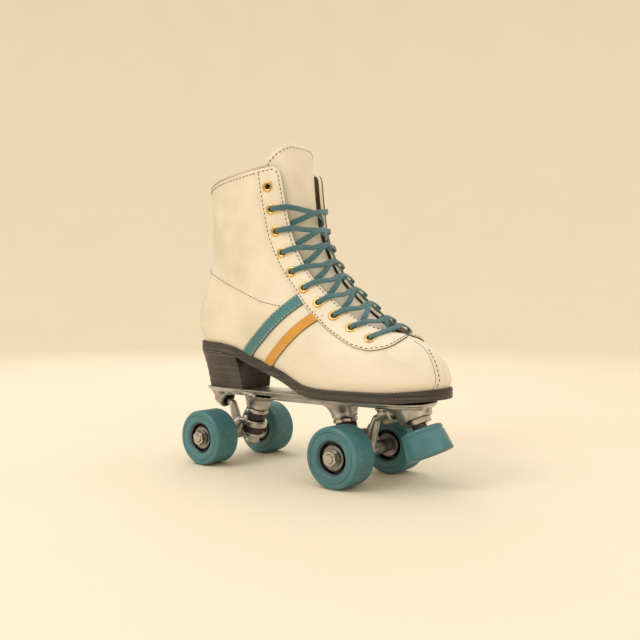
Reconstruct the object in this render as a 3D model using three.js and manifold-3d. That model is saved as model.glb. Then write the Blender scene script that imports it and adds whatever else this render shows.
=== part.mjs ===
// Quad roller skate for the right foot: a lace-up leather boot on a stacked heel, a cast plate, two sprung
// trucks, four wheels and a toe stop. Millimetres, +X towards the toe, +Y to the wearer's left, +Z up.
// The floor is Z = 0. The design is laid out about the middle of the wheelbase; the last lines move it so
// that the origin is on the floor under the middle of the skate's box.
import * as THREE from "three";
import { mergeVertices } from "three/addons/utils/BufferGeometryUtils.js";
import Module from "manifold-3d";

const wasm = await Module();
wasm.setup();

// ---- driving dimensions ------------------------------------------------------------------------------
const GAP = 0.3; // between solids that touch on the real skate

const WHEELBASE = 171;
const TRACK = 89; // between the middles of a pair of wheels
const WHEEL_RADIUS = 28.5;
const WHEEL_WIDTH = 30;
const WHEEL_SEGMENTS = 24;
const HUB_RADIUS = 15.2;
const HUB_WIDTH = 25.4;
const BEARING_RADIUS = 11;
const BEARING_WIDTH = 7;
const BEARING_SPAN = 22; // over the outer faces of a wheel's two bearings
const RING_SEGMENTS = 16;

const AXLE_RADIUS = 4;
const AXLE_PROUD = 3; // beyond the wheel's outer face
const AXLE_NUT_ACROSS = 13;
const AXLE_NUT_HEIGHT = 5.5;

const KINGPIN_RADIUS = 4;
const KINGPIN_TILT = THREE.MathUtils.degToRad(12.5);
const KINGPIN_INBOARD = 27.5; // of the axle, at the boss face
const KINGPIN_RISE = 28.5; // boss face above the axle
const KINGPIN_BEDDED = 13; // length inside the boss
const KINGPIN_PROUD = 3; // beyond its nut
const KINGPIN_NUT_ACROSS = 13;
const KINGPIN_NUT_HEIGHT = 6;
const CUP_BASE = 1.6;
const CUP_RIM = 2.6; // height of the rim above the base
const CUP_WALL = 1.4;
const CUSHION_RADIUS = 10.4;
const LOWER_CUSHION_RADIUS = 9.4;
const UPPER_CUSHION = 10.4; // heights of the cushions
const LOWER_CUSHION = 9.2;
const YOKE_RADIUS = 13;
const YOKE_HEIGHT = 7;
const YOKE_SLACK = 2.3; // round the kingpin, for the lean
const PIVOT_OUTBOARD = 20;
const PIVOT_RISE = 35.5; // above the axle
const PIVOT_BALL = 4;
const PIVOT_NECK = 3.1;
const PIVOT_CUP_RADIUS = 7.2;
const PIVOT_CUP_DEPTH = 6; // beyond the ball's centre
const PIVOT_CUP_MOUTH = 3.5; // before it
const AXLE_TUBE_RADIUS = 6.6;
const AXLE_TUBE_END_GAP = 1.2; // between the tube's end and the inner bearing

const PLATE_RISE = 49.5; // top of the plate above the axles
const PLATE_THICKNESS = 5;
const PLATE_REAR = 38.5; // beyond the rear axle
const PLATE_FRONT = 66; // beyond the front axle
const PLATE_REAR_HALF = 24;
const PLATE_WAIST_HALF = 21;
const PLATE_FRONT_HALF = 35;
const BOSS_FLARE = 9;
const PIVOT_BOSS_WALL = 3;
const POST_BACK = 4; // of the post above the pivot cup, behind the ball
const POST_WALL = 2;
const POST_FLARE = 7;

const TOE_STOP_TILT = THREE.MathUtils.degToRad(26);
const TOE_STOP_AHEAD = 47; // stem's place at the plate's underside, beyond the front axle
const TOE_STOP_TOP_RADIUS = 19.5;
const TOE_STOP_FACE_RADIUS = 22;
const TOE_STOP_HEIGHT = 25;
const TOE_STOP_DROP = 22; // from the plate's underside to the rubber, along the stem
const TOE_STOP_DISH = 3;
const STEM_RADIUS = 7.5;
const STEM_BEDDED = 12; // in the rubber
const TOE_BOSS_RADIUS = 15.5;
const TOE_BOSS_DROP = 12.5;
const JAM_NUT_RADIUS = 13;
const JAM_NUT_HEIGHT = 4.5;

const BOLT_RADIUS = 2.5;
const BOLT_HEAD_RADIUS = 5;
const BOLT_HEAD_HEIGHT = 3.4;
const BOLT_BITE = 4.5; // length above the plate
const REAR_BOLT = { x: 2, y: 12 }; // beyond the rear axle, and off the centre line
const FRONT_BOLT = { x: 30, y: 25 };

const SOLE_LENGTH = 300;
const SOLE_AHEAD = 13; // middle of the sole, ahead of the middle of the wheelbase
const BALL_HALF = 49.5; // half the boot's greatest width
const TOE_LEAN = 7; // of the toe's middle towards the big toe
const SHAFT_RISE = 215; // collar's front above the ball of the sole
const OUTSOLE = 5.4;
const WELT = 3.6;
const WELT_PROUD = 3; // beyond the upper
const HEEL_RISE = 39.5; // heel seat above the ball
const HEEL_LENGTH = 78;
const HEEL_TAPER = 9; // each way at the bottom
const UPPER_WALL = 3;
const UPPER_FLOOR = 2.5;
const INSOLE = 3;
const FACING = 1.3;
const STRIPE = 1.2;
const EYELET_ROWS = 10;
const EYELET_HOLE = 2.9;
const TONGUE_THICKNESS = 4.5;
const TONGUE_TOP_RISE = 22; // above the collar's front
const LACE_WIDTH = 5;
const LACE_THICKNESS = 1.3;

const PLATE_TOP = WHEEL_RADIUS + PLATE_RISE;
const PLATE_BOTTOM = PLATE_TOP - PLATE_THICKNESS;
const OUTSOLE_BOTTOM = PLATE_TOP + GAP;
const WELT_BOTTOM = OUTSOLE_BOTTOM + OUTSOLE + GAP;
const SOLE_TOP = WELT_BOTTOM + WELT + GAP; // underside of the upper at the ball of the foot

// ---- materials ---------------------------------------------------------------------------------------
const finish = (color, roughness, metalness) => new THREE.MeshStandardMaterial({ color, roughness, metalness });
const WHITE_LEATHER = finish(0xf3ead6, 0.55, 0);
const TEAL_LEATHER = finish(0x3f7779, 0.55, 0);
const AMBER_LEATHER = finish(0xd9992f, 0.55, 0);
const LINING = finish(0x4a4640, 0.9, 0);
const STACKED_LEATHER = finish(0x3b3733, 0.65, 0);
const CAST_ALLOY = finish(0xa9a59c, 0.4, 0.9);
const STEEL = finish(0xc9c6be, 0.25, 1);
const BLACK_RUBBER = finish(0x24211f, 0.8, 0);
const TEAL_URETHANE = finish(0x3f7a80, 0.45, 0);
const HUB_GREY = finish(0x55524d, 0.4, 0.6);
const TEAL_LACE = finish(0x3c7079, 0.85, 0);

const at = (x, y, z) => new THREE.Vector3(x, y, z);

// ---- solids ------------------------------------------------------------------------------------------
// A geometry as a manifold-3d solid with its faces pointing out.
function solid(geometry) {
  const bare = (geometry.index ? geometry.toNonIndexed() : geometry.clone());
  for (const name of Object.keys(bare.attributes)) {
    if (name !== "position") bare.deleteAttribute(name);
  }
  const merged = mergeVertices(bare, 1e-3);
  const triVerts = new Uint32Array(merged.index.array);
  const vertProperties = merged.attributes.position.array;
  const made = new wasm.Manifold(new wasm.Mesh({ numProp: 3, vertProperties, triVerts }));
  if (made.volume() >= 0) return made;
  for (let i = 0; i < triVerts.length; i += 3) {
    [triVerts[i + 1], triVerts[i + 2]] = [triVerts[i + 2], triVerts[i + 1]];
  }
  return new wasm.Manifold(new wasm.Mesh({ numProp: 3, vertProperties, triVerts }));
}

function geometryOf(manifold) {
  const { vertProperties, triVerts, numProp } = manifold.getMesh();
  const geometry = new THREE.BufferGeometry();
  const places = new Float32Array((vertProperties.length / numProp) * 3);
  for (let i = 0; i < places.length / 3; i += 1) {
    places.set(vertProperties.subarray(i * numProp, i * numProp + 3), i * 3);
  }
  geometry.setAttribute("position", new THREE.BufferAttribute(places, 3));
  geometry.setIndex(new THREE.BufferAttribute(new Uint32Array(triVerts), 1));
  geometry.computeVertexNormals();
  return geometry;
}

const joined = (first, ...rest) => rest.reduce((whole, piece) => whole.add(piece), first);
const cut = (first, ...tools) => tools.reduce((whole, tool) => whole.subtract(tool), first);

const skate = new THREE.Group();

// Adds a named mesh. The piece is a geometry or a manifold-3d solid.
function addPart(name, piece, material, parent = skate) {
  const geometry = piece.isBufferGeometry ? geometryOf(solid(piece)) : geometryOf(piece);
  const mesh = new THREE.Mesh(geometry, material);
  mesh.name = name;
  parent.add(mesh);
  return mesh;
}

// A closed profile of [radius, height] pairs turned about the Y axis.
function turned(profile, segments = RING_SEGMENTS, start = 0) {
  const points = profile.map(([radius, height]) => new THREE.Vector2(radius, height));
  if (profile[0][0] > 0 || profile.at(-1)[0] > 0) points.push(points[0].clone());
  return new THREE.LatheGeometry(points, segments, start, Math.PI * 2);
}

// Turns a piece made about the Y axis so that +Y points along a direction in the XZ plane, and moves it.
function aim(geometry, direction, place) {
  const turn = new THREE.Quaternion().setFromUnitVectors(new THREE.Vector3(0, 1, 0), direction);
  return geometry.applyQuaternion(turn).translate(place.x, place.y, place.z);
}

function rod(radius, from, to, endRadius = radius, segments = 12) {
  const reach = to.clone().sub(from);
  const bar = new THREE.CylinderGeometry(endRadius, radius, reach.length(), segments);
  return aim(bar, reach.clone().normalize(), from.clone().add(to).multiplyScalar(0.5));
}

// A solid through rings of points. Point i and point n - i of a ring face each other across the piece, and
// the two ends are closed by strips between such pairs.
function loft(rings) {
  const n = rings[0].length;
  const places = rings.flat().flatMap((p) => [p.x, p.y, p.z]);
  const faces = [];
  for (let r = 0; r + 1 < rings.length; r += 1) {
    for (let i = 0; i < n; i += 1) {
      const [a, b] = [r * n + i, r * n + ((i + 1) % n)];
      faces.push(a, b, b + n, a, b + n, a + n);
    }
  }
  const cap = (base, flip) => {
    for (let i = 0; 2 * i + 2 <= n; i += 1) {
      const [a, b, c, d] = [i, i + 1, n - i - 1, (n - i) % n].map((k) => base + k);
      if (i > 0) faces.push(...(flip ? [a, c, d] : [a, d, c]));
      if (b !== c) faces.push(...(flip ? [a, b, c] : [a, c, b]));
    }
  };
  cap(0, false);
  cap((rings.length - 1) * n, true);
  const geometry = new THREE.BufferGeometry();
  geometry.setAttribute("position", new THREE.Float32BufferAttribute(places, 3));
  geometry.setIndex(faces);
  return geometry;
}

// A smooth value at t through [t, value] pairs, flat between equal values and never past them.
function smooth(pairs, t) {
  const last = pairs.length - 1;
  if (t <= pairs[0][0]) return pairs[0][1];
  if (t >= pairs[last][0]) return pairs[last][1];
  const k = pairs.findIndex(([at]) => at > t) - 1;
  const slope = (i) => (pairs[i + 1][1] - pairs[i][1]) / (pairs[i + 1][0] - pairs[i][0]);
  const tangent = (i) => {
    if (i === 0) return slope(0);
    if (i === last) return slope(last - 1);
    const [a, b] = [slope(i - 1), slope(i)];
    return a * b <= 0 ? 0 : (2 * a * b) / (a + b);
  };
  const width = pairs[k + 1][0] - pairs[k][0];
  const u = (t - pairs[k][0]) / width;
  const [a, b] = [pairs[k][1], pairs[k + 1][1]];
  const [da, db] = [tangent(k) * width, tangent(k + 1) * width];
  return a + u * da + u * u * (3 * (b - a) - 2 * da - db) + u * u * u * (2 * (a - b) + da + db);
}

// ---- the last: the shape that the boot is built on ---------------------------------------------------
// Girth lines, from the feather line at the sole up to the collar. Each runs from a point at the back of
// the heel to a point at the front. Lengths are shares of the sole's length from its middle, heights are
// shares of the shaft's rise above the ball, and widths are shares of half the ball's width.
const GIRTHS = [
  { front: [0.493, 0.012], back: [-0.49, 0.184], heel: 0.66, waist: 0.68, ball: 0.95, widest: 0.7, square: 2.4 },
  { front: [0.502, 0.05], back: [-0.503, 0.222], heel: 0.71, waist: 0.74, ball: 1.0, widest: 0.69, square: 2.35 },
  { front: [0.488, 0.116], back: [-0.512, 0.274], heel: 0.73, waist: 0.77, ball: 0.985, widest: 0.67, square: 2.25 },
  { front: [0.447, 0.179], back: [-0.508, 0.33], heel: 0.74, waist: 0.79, ball: 0.93, widest: 0.64, square: 2.15 },
  { front: [0.363, 0.245], back: [-0.492, 0.395], heel: 0.73, waist: 0.79, ball: 0.84, widest: 0.6, square: 2.1 },
  { front: [0.243, 0.363], back: [-0.457, 0.488], heel: 0.71, waist: 0.77, ball: 0.76, widest: 0.55, square: 2.2 },
  { front: [0.117, 0.516], back: [-0.425, 0.6], heel: 0.7, waist: 0.77, ball: 0.75, widest: 0.52, square: 2.5 },
  { front: [0.04, 0.702], back: [-0.412, 0.716], heel: 0.73, waist: 0.79, ball: 0.78, widest: 0.5, square: 2.8 },
  { front: [0.013, 0.851], back: [-0.408, 0.826], heel: 0.78, waist: 0.83, ball: 0.82, widest: 0.5, square: 3 },
  { front: [0.0, 1.0], back: [-0.411, 0.92], heel: 0.81, waist: 0.86, ball: 0.85, widest: 0.5, square: 3 },
];
const HEEL_SQUARE = 2.3; // of the girth lines round the heel
const COLLAR = GIRTHS.length - 1;
const THROAT = 4; // the girth line where the lacing gap ends
const lastX = (share) => SOLE_AHEAD + share * SOLE_LENGTH;
const lastZ = (share) => SOLE_TOP + share * SHAFT_RISE;

// A girth line's value between the lines of the table, and in a straight line on above the collar.
function girthValue(pick, v) {
  if (v > COLLAR) return pick(GIRTHS[COLLAR]) + (v - COLLAR) * (pick(GIRTHS[COLLAR]) - pick(GIRTHS[COLLAR - 1]));
  return smooth(GIRTHS.map((girth, k) => [k, pick(girth)]), v);
}

// Height of the upper's underside along the foot: flat under the ball, up the arch, flat at the heel seat.
function soleHeight(x) {
  const share = (x - SOLE_AHEAD) / SOLE_LENGTH;
  const lift = smooth([[-0.5, 1], [-0.36, 0.97], [-0.28, 0.9], [-0.16, 0.64], [-0.025, 0.34], [0.1, 0.03],
    [0.16, 0], [0.36, 0], [0.5, 0.08]], share);
  return SOLE_TOP + lift * HEEL_RISE;
}

// The feather line lies on the sole.
for (const end of [GIRTHS[0].front, GIRTHS[0].back]) end[1] = (soleHeight(lastX(end[0])) - SOLE_TOP) / SHAFT_RISE;

// The ends, widths and roundness of a girth line, read once for each v.
function girthAt(v) {
  const read = (pick) => girthValue(pick, v);
  return {
    front: { x: lastX(read((g) => g.front[0])), z: lastZ(read((g) => g.front[1])) },
    back: { x: lastX(read((g) => g.back[0])), z: lastZ(read((g) => g.back[1])) },
    widths: [[0.1, read((g) => g.heel)], [0.4, read((g) => g.waist)], [0.7, read((g) => g.ball)]],
    widest: read((g) => g.widest),
    square: read((g) => g.square),
    bend: Math.max(0, 1 - v / THROAT), // how far the line still follows the sole's curve
  };
}

// A point on the right-hand side of a girth line. The angle is 0 at the heel and PI at the front.
function lastPoint(v, angle, girth = girthAt(v)) {
  const { front, back, widest, square } = girth;
  const left = angle > Math.PI || angle < 0;
  const turn = angle > Math.PI ? Math.PI * 2 - angle : Math.abs(angle);
  const power = turn < Math.PI / 2 ? HEEL_SQUARE : square;
  const reach = Math.abs(Math.cos(turn)) ** (2 / power);
  const share = turn < Math.PI / 2 ? widest - widest * reach : widest + (1 - widest) * reach;
  const half = BALL_HALF * smooth(girth.widths, share) * Math.abs(Math.sin(turn)) ** (2 / power);
  const x = THREE.MathUtils.lerp(back.x, front.x, share);
  const straight = THREE.MathUtils.lerp(back.z, front.z, share);
  const [heel, toe] = [GIRTHS[0].back, GIRTHS[0].front].map((end) => soleHeight(lastX(end[0])));
  const chord = THREE.MathUtils.lerp(heel, toe, share);
  const z = straight + girth.bend * (soleHeight(x) - chord);
  const foot = Math.max(0, 1 - v / (THROAT + 1));
  const inward = foot * TOE_LEAN * smooth([[0.45, 0], [0.7, 0.15], [1, 1]], share);
  return new THREE.Vector3(x, inward + (left ? half : -half), z);
}

// The outward direction there.
function lastNormal(v, angle) {
  const [dv, da] = [0.02, 0.02];
  const across = lastPoint(v, angle + da).sub(lastPoint(v, angle - da));
  const up = lastPoint(v + dv, angle).sub(lastPoint(Math.max(v - dv, 0), angle));
  return across.cross(up).normalize();
}

const onLast = (v, angle, proud) => lastPoint(v, angle).addScaledVector(lastNormal(v, angle), proud);

const steps = (count, from, to) =>
  Array.from({ length: count + 1 }, (_, i) => THREE.MathUtils.lerp(from, to, i / count));
const RING = 30;
const ringAngles = steps(RING, 0, Math.PI * 2).slice(0, RING);

// The angle at a distance round the girth line from the front, positive to the wearer's right.
function frontAngle(v, distance) {
  const girth = girthAt(v);
  const step = 0.02;
  let [angle, gone, before] = [Math.PI, 0, lastPoint(v, Math.PI, girth)];
  for (;;) {
    const next = lastPoint(v, angle - step, girth);
    const length = next.distanceTo(before);
    if (gone + length >= Math.abs(distance)) {
      angle -= (step * (Math.abs(distance) - gone)) / length;
      return distance < 0 ? Math.PI * 2 - angle : angle;
    }
    [angle, gone, before] = [angle - step, gone + length, next];
  }
}

const fromFront = (v, distance, proud) => onLast(v, frontAngle(v, distance), proud);

// A ring round a band that lies on the last between two heights above its surface.
function band(v, distances, low, high) {
  const angles = distances.map((distance) => frontAngle(v, distance));
  const top = angles.map((angle) => onLast(v, angle, high));
  const bottom = angles.map((angle) => onLast(v, angle, low)).reverse();
  return [bottom.pop(), ...top, ...bottom];
}

// Half the width of the lacing gap, and the places of the eyelets and the facing's edges, all measured
// round the girth lines from the front.
const THROAT_END = 3.88;
const halfGap = (v) => smooth([[THROAT_END, 4], [4, 21], [4.15, 28], [4.35, 32], [4.8, 36], [5.5, 35], [6.2, 33.5],
  [7, 32], [8, 33], [9, 36]], v);
const eyeletOut = (v) => smooth([[3.44, 47.5], [3.9, 52], [4.8, 56], [5.4, 55], [6.4, 50], [7, 47.5], [8.4, 48.6]], v);
const facingOut = (v) => smooth([[2.72, 64], [2.85, 74], [3.2, 81], [3.7, 83], [4.3, 80], [4.7, 77], [5.5, 67],
  [6.3, 62], [7.4, 59], [9, 61]], v);
const facingIn = (v) => smooth([[2.72, 60], [2.85, 49], [3.1, 35], [3.36, 24], [3.6, 13], [3.83, 2],
  [THROAT_END, 4]], v);
// How far above the eyelets' line a lace meets the middle, because the girth lines fall towards the toe.
const laceLead = (v) => smooth([[3.4, 0.77], [4.6, 0.75], [5.9, 0.5], [7, 0.2], [8.4, 0.05]], v);

// ---- boot --------------------------------------------------------------------------------------------
const HEIGHTS = [0, 0.6, 1.3, 2, 2.7, 3.4, 4, 4.6, 5.2, 6, 7, 8, 9];
const swollenLast = (proud) => solid(loft(HEIGHTS.map((v) => ringAngles.map((angle) => onLast(v, angle, proud)))));

function makeUpper() {
  const floor = ringAngles.map((angle) => {
    const place = soleEdge(angle, -UPPER_WALL);
    return place.setZ(soleHeight(place.x) + UPPER_FLOOR);
  });
  const walls = [...HEIGHTS.slice(1), COLLAR + 0.4].map((v) => ringAngles.map((a) => onLast(v, a, -UPPER_WALL)));
  const reach = UPPER_WALL + 3;
  const throat = [THROAT_END, 3.94, 4, 4.15, 4.35, 4.7, 5, 5.5, 6, 6.5, 7, 8, COLLAR + 0.4].map((v) =>
    band(v, steps(6, -halfGap(v), halfGap(v)), -reach, reach));
  return cut(swollenLast(0), solid(loft([floor, ...walls])), solid(loft(throat)), ...eyeletDrills([RIGHT, LEFT]));
}

// A point on the sole's outline, moved out level from the upper's feather line.
function soleEdge(angle, out) {
  const normal = lastNormal(0, angle).setZ(0).normalize();
  return lastPoint(0, angle).addScaledVector(normal, out);
}

// A layer of the sole between two depths under the upper.
function soleLayer(low, high, out) {
  const ring = (depth) => ringAngles.map((angle) => {
    const place = soleEdge(angle, out);
    return place.setZ(soleHeight(place.x) - depth);
  });
  return solid(loft([ring(low), ring(high)]));
}

const WELT_DEPTH = GAP + WELT;
const OUTSOLE_DEPTH = WELT_DEPTH + GAP + OUTSOLE;

function makeHeel() {
  const front = lastX(-0.5) + HEEL_LENGTH;
  const last = ringAngles.filter((angle) => angle < Math.PI && soleEdge(angle, 0).x < front);
  const turn = [...last, ...last.slice(1).map((angle) => Math.PI * 2 - angle).reverse()];
  const ring = (out, level) => turn.map((angle) => {
    const place = soleEdge(angle, out);
    return place.setZ(level ?? soleHeight(place.x) - OUTSOLE_DEPTH - GAP);
  });
  return solid(loft([ring(WELT_PROUD - HEEL_TAPER, PLATE_TOP + GAP), ring(WELT_PROUD)]));
}

function makeInsole() {
  const ring = (height) => ringAngles.map((angle) => {
    const place = soleEdge(angle, -UPPER_WALL - 3);
    return place.setZ(soleHeight(place.x) + UPPER_FLOOR + height);
  });
  return loft([ring(GAP), ring(GAP + INSOLE)]);
}

const TONGUE_DEPTH = 8.4; // from the last's surface to the tongue's face, with the laces between
function makeTongue() {
  const top = COLLAR + TONGUE_TOP_RISE / (lastZ(1) - lastZ(GIRTHS[COLLAR - 1].front[1]));
  const half = (v) => smooth([[3.55, 12], [4, 30], [5, 42], [7, 43], [8, 49], [9, 56], [9.2, 54], [9.4, 46],
    [9.55, 36], [top, 22]], v);
  const heights = [3.55, 3.8, 4.1, 4.5, 5, 5.5, 6, 6.5, 7, 8, 9, 9.35, 9.55, top];
  return loft(heights.map((v) => band(v, steps(6, -half(v), half(v)), -TONGUE_DEPTH - TONGUE_THICKNESS,
    -TONGUE_DEPTH)));
}

function facingSolid(side, low, high, wider) {
  const heights = [2.72, 2.78, 2.85, 3, 3.2, 3.4, 3.6, 3.75, THROAT_END, 3.94, 4, 4.15, 4.35, 4.7, 5, 5.5, 6, 6.5, 7, 8,
    COLLAR - 0.06];
  const inner = (v) => (v < THROAT_END ? facingIn(v) : halfGap(v));
  return solid(loft(heights.map((v) =>
    band(v, steps(4, inner(v), facingOut(v) + wider).map((s) => s * side), low, high))));
}

function makeFacing(side) {
  return cut(facingSolid(side, -1, GAP + FACING, 0), swollenLast(GAP), ...eyeletDrills([side]));
}

// Heights on the last of the rows of eyelets, evenly spaced, from the top row down.
function eyeletRows() {
  const [high, low, fine] = [8.32, 3.44, 200];
  const heights = steps(fine, high, low);
  const places = heights.map((v) => fromFront(v, eyeletOut(v), 0));
  const lengths = places.map((place, i) => (i ? place.distanceTo(places[i - 1]) : 0));
  const total = lengths.reduce((sum, length) => sum + length, 0);
  let [row, gone] = [0, 0];
  const rows = [];
  for (let i = 0; i < places.length; i += 1) {
    gone += lengths[i];
    if (gone >= (row * total) / (EYELET_ROWS - 1) - 1e-6) {
      rows.push(heights[i]);
      row += 1;
    }
  }
  return rows;
}
const ROWS = eyeletRows();
const RIGHT = 1;
const LEFT = -1;

function eyeletDrills(sides) {
  const reach = UPPER_WALL + FACING + 4;
  return sides.flatMap((side) => ROWS.map((v) => {
    const [inside, outside] = [-reach, reach].map((proud) => fromFront(v, side * eyeletOut(v), proud));
    return solid(rod(EYELET_HOLE, inside, outside, EYELET_HOLE, 6));
  }));
}

// The lace: two flat strands that start in the bar across the bottom row and cross at every row above.
function strandPath(start) {
  const over = GAP + FACING + 1.6;
  const under = -UPPER_WALL - 1.4;
  const path = [];
  // A place in the lacing: a height on the eyelets' line, moved along as the laces run, and a distance out.
  const put = (line, s, proud, width = LACE_WIDTH) => {
    const v = line + laceLead(line) * (1 - Math.min(1, Math.abs(s) / eyeletOut(line)));
    path.push({ place: fromFront(v, s, proud), v, s, width });
  };
  const hop = (v, s) => {
    put(v, s, over, 4);
    put(v, s, -0.5, 2.8);
    put(v, s, under, 3.6);
  };
  const edge = (line) => halfGap(line + laceLead(line) * 0.35);
  const bottom = ROWS.at(-1);
  let side = start;
  put(bottom, -side * 2, 2);
  put(bottom, side * (edge(bottom) - 4), over + 0.4);
  put(bottom, side * (edge(bottom) + 5), over + 1);
  for (let row = ROWS.length - 1; row > 1; row -= 1) {
    const [v, next] = [ROWS[row], ROWS[row - 1]];
    const mix = (share) => THREE.MathUtils.lerp(v, next, share);
    hop(v, side * eyeletOut(v));
    put(mix(0.25), side * (edge(mix(0.25)) + 2), under);
    put(mix(0.42), side * edge(mix(0.42)) * 0.6, -2);
    put(mix(0.55), 0, 0.2);
    put(mix(0.66), -side * edge(mix(0.66)) * 0.55, 0.6);
    put(mix(0.8), -side * (edge(mix(0.8)) - 2), over);
    put(mix(0.9), -side * (edge(mix(0.9)) + 6), over + 0.8);
    side = -side;
  }
  hop(ROWS[1], side * eyeletOut(ROWS[1]));
  put(ROWS[1] - 0.3, side * (eyeletOut(ROWS[1]) - 4), under);
  return path;
}

function makeStrand(start) {
  const path = strandPath(start);
  const curve = new THREE.CatmullRomCurve3(path.map((stop) => stop.place), false, "centripetal");
  const count = Math.round((path.length - 1) * 1.25);
  const rings = [];
  for (let i = 0; i <= count; i += 1) {
    const share = i / count;
    const k = Math.min(Math.floor(share * (path.length - 1)), path.length - 2);
    const between = share * (path.length - 1) - k;
    const place = curve.getPoint(share);
    const along = curve.getTangent(share);
    const width = THREE.MathUtils.lerp(path[k].width, path[k + 1].width, between) / 2;
    const v = THREE.MathUtils.lerp(path[k].v, path[k + 1].v, between);
    const s = THREE.MathUtils.lerp(path[k].s, path[k + 1].s, between);
    const rise = fromFront(v + 0.2, s, 0).sub(fromFront(v, s, 0)).normalize();
    const across = rise.addScaledVector(along, -rise.dot(along)).normalize();
    const thick = along.clone().cross(across).multiplyScalar(LACE_THICKNESS / 2);
    across.multiplyScalar(width);
    rings.push([[1, 1], [1, -1], [-1, -1], [-1, 1]].map(([a, b]) =>
      place.clone().addScaledVector(across, a).addScaledVector(thick, b)));
  }
  return solid(loft(rings));
}

// The height on the last and the angle of the place that a line along Y meets on its right-hand side.
function sideSpot(x, z) {
  let [v, angle] = [3, 1.4];
  for (let round = 0; round < 12; round += 1) {
    const [here, up, along] = [lastPoint(v, angle), lastPoint(v + 0.01, angle), lastPoint(v, angle + 0.01)];
    const [dx, dz, ux, uz] = [x - here.x, z - here.z, (up.x - here.x) * 100, (up.z - here.z) * 100];
    const [ax, az] = [(along.x - here.x) * 100, (along.z - here.z) * 100];
    const whole = ux * az - uz * ax;
    v = THREE.MathUtils.clamp(v + THREE.MathUtils.clamp((dx * az - dz * ax) / whole, -0.6, 0.6), 0, COLLAR);
    angle += THREE.MathUtils.clamp((ux * dz - uz * dx) / whole, -0.4, 0.4);
  }
  return [v, angle];
}

// Strips of coloured leather from the facing down to the welt, by the middle line of each in side view.
const STRIPES = {
  teal: { material: TEAL_LEATHER, width: 13, line: [[37, 175], [-16, 139], [-47, 114]] },
  amber: { material: AMBER_LEATHER, width: 11, line: [[60, 161], [14, 130], [-16, 104.5]] },
};

function makeStripe({ width, line }, side) {
  const [from, bend, to] = line.map(([x, z]) => new THREE.Vector2(x, z));
  const middle = new THREE.QuadraticBezierCurve(from, bend, to);
  const rings = steps(9, 0, 1).map((t) => {
    const along = middle.getTangent(t);
    const spots = steps(2, -width / 2, width / 2).map((w) => {
      const place = middle.getPoint(t).add(new THREE.Vector2(-along.y * w, along.x * w));
      return sideSpot(place.x, Math.max(place.y, soleHeight(place.x) + 1));
    });
    const lay = ([v, angle], proud) => onLast(v, side === RIGHT ? angle : Math.PI * 2 - angle, proud);
    const top = spots.map((spot) => lay(spot, GAP + STRIPE));
    const bottom = spots.map((spot) => lay(spot, -1.5)).reverse();
    return [bottom.pop(), ...top, ...bottom];
  });
  return cut(solid(loft(rings)), swollenLast(GAP), facingSolid(side, -3, 6, 0.6));
}

// ---- plate -------------------------------------------------------------------------------------------
const REAR_AXLE = -WHEELBASE / 2;
const FRONT_AXLE = WHEELBASE / 2;
const PLATE_BACK_X = REAR_AXLE - PLATE_REAR;
const PLATE_FRONT_X = FRONT_AXLE + PLATE_FRONT;
const DOWN = new THREE.Vector3(-Math.sin(KINGPIN_TILT), 0, -Math.cos(KINGPIN_TILT));
const BOSS_FACE = new THREE.Vector3(KINGPIN_INBOARD, 0, KINGPIN_RISE);
const PIVOT = new THREE.Vector3(-PIVOT_OUTBOARD, 0, PIVOT_RISE);
const YOKE_DEPTH = GAP + CUP_BASE + GAP + UPPER_CUSHION + GAP; // of its upper face under the boss face
const onKingpin = (depth) => BOSS_FACE.clone().addScaledVector(DOWN, depth);
const YOKE = onKingpin(YOKE_DEPTH + YOKE_HEIGHT / 2);
const LEAN = PIVOT.clone().sub(YOKE).normalize(); // the truck leans about this line

// Everything laid out about an axle, with the middle of the skate at +X.
const atAxle = (geometry, front) => (front ? geometry.rotateZ(Math.PI) : geometry)
  .translate(front ? FRONT_AXLE : REAR_AXLE, 0, WHEEL_RADIUS);

function plateSlab(low, high, inset) {
  const [mid, half] = [(PLATE_BACK_X + PLATE_FRONT_X) / 2, (PLATE_FRONT_X - PLATE_BACK_X) / 2 - inset];
  const wide = (x) => smooth([[PLATE_BACK_X, PLATE_REAR_HALF], [-40, PLATE_WAIST_HALF], [20, PLATE_WAIST_HALF],
    [FRONT_AXLE - 10, PLATE_FRONT_HALF], [PLATE_FRONT_X, PLATE_FRONT_HALF]], x) - inset;
  const squared = (value) => Math.sign(value) * Math.sqrt(Math.abs(value));
  const ring = (z) => steps(28, 0, Math.PI * 2).slice(0, 28).map((turn) => {
    const x = mid - half * squared(Math.cos(turn));
    return new THREE.Vector3(x, -wide(x) * squared(Math.sin(turn)), z);
  });
  return solid(loft([ring(low), ring(high)]));
}

function truckBosses(front) {
  const fall = PLATE_BOTTOM + 1 - WHEEL_RADIUS - KINGPIN_RISE;
  const boss = rod(CUSHION_RADIUS + CUP_WALL + 0.5, BOSS_FACE, onKingpin(fall / DOWN.z),
    CUSHION_RADIUS + CUP_WALL + BOSS_FLARE, 16);
  const back = PIVOT_CUP_DEPTH + PIVOT_BOSS_WALL;
  const socket = rod(PIVOT_CUP_RADIUS + PIVOT_BOSS_WALL, PIVOT.clone().addScaledVector(LEAN, -PIVOT_CUP_MOUTH),
    PIVOT.clone().addScaledVector(LEAN, back), PIVOT_CUP_RADIUS + PIVOT_BOSS_WALL, 16);
  const [low, high] = [PIVOT.z, PLATE_RISE - PLATE_THICKNESS + 1].map((z) => at(PIVOT.x - POST_BACK, 0, z));
  const post = rod(PIVOT_CUP_RADIUS + POST_WALL, low, high, PIVOT_CUP_RADIUS + POST_FLARE, 16);
  return [boss, socket, post].map((piece) => solid(atAxle(piece, front)));
}

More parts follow.
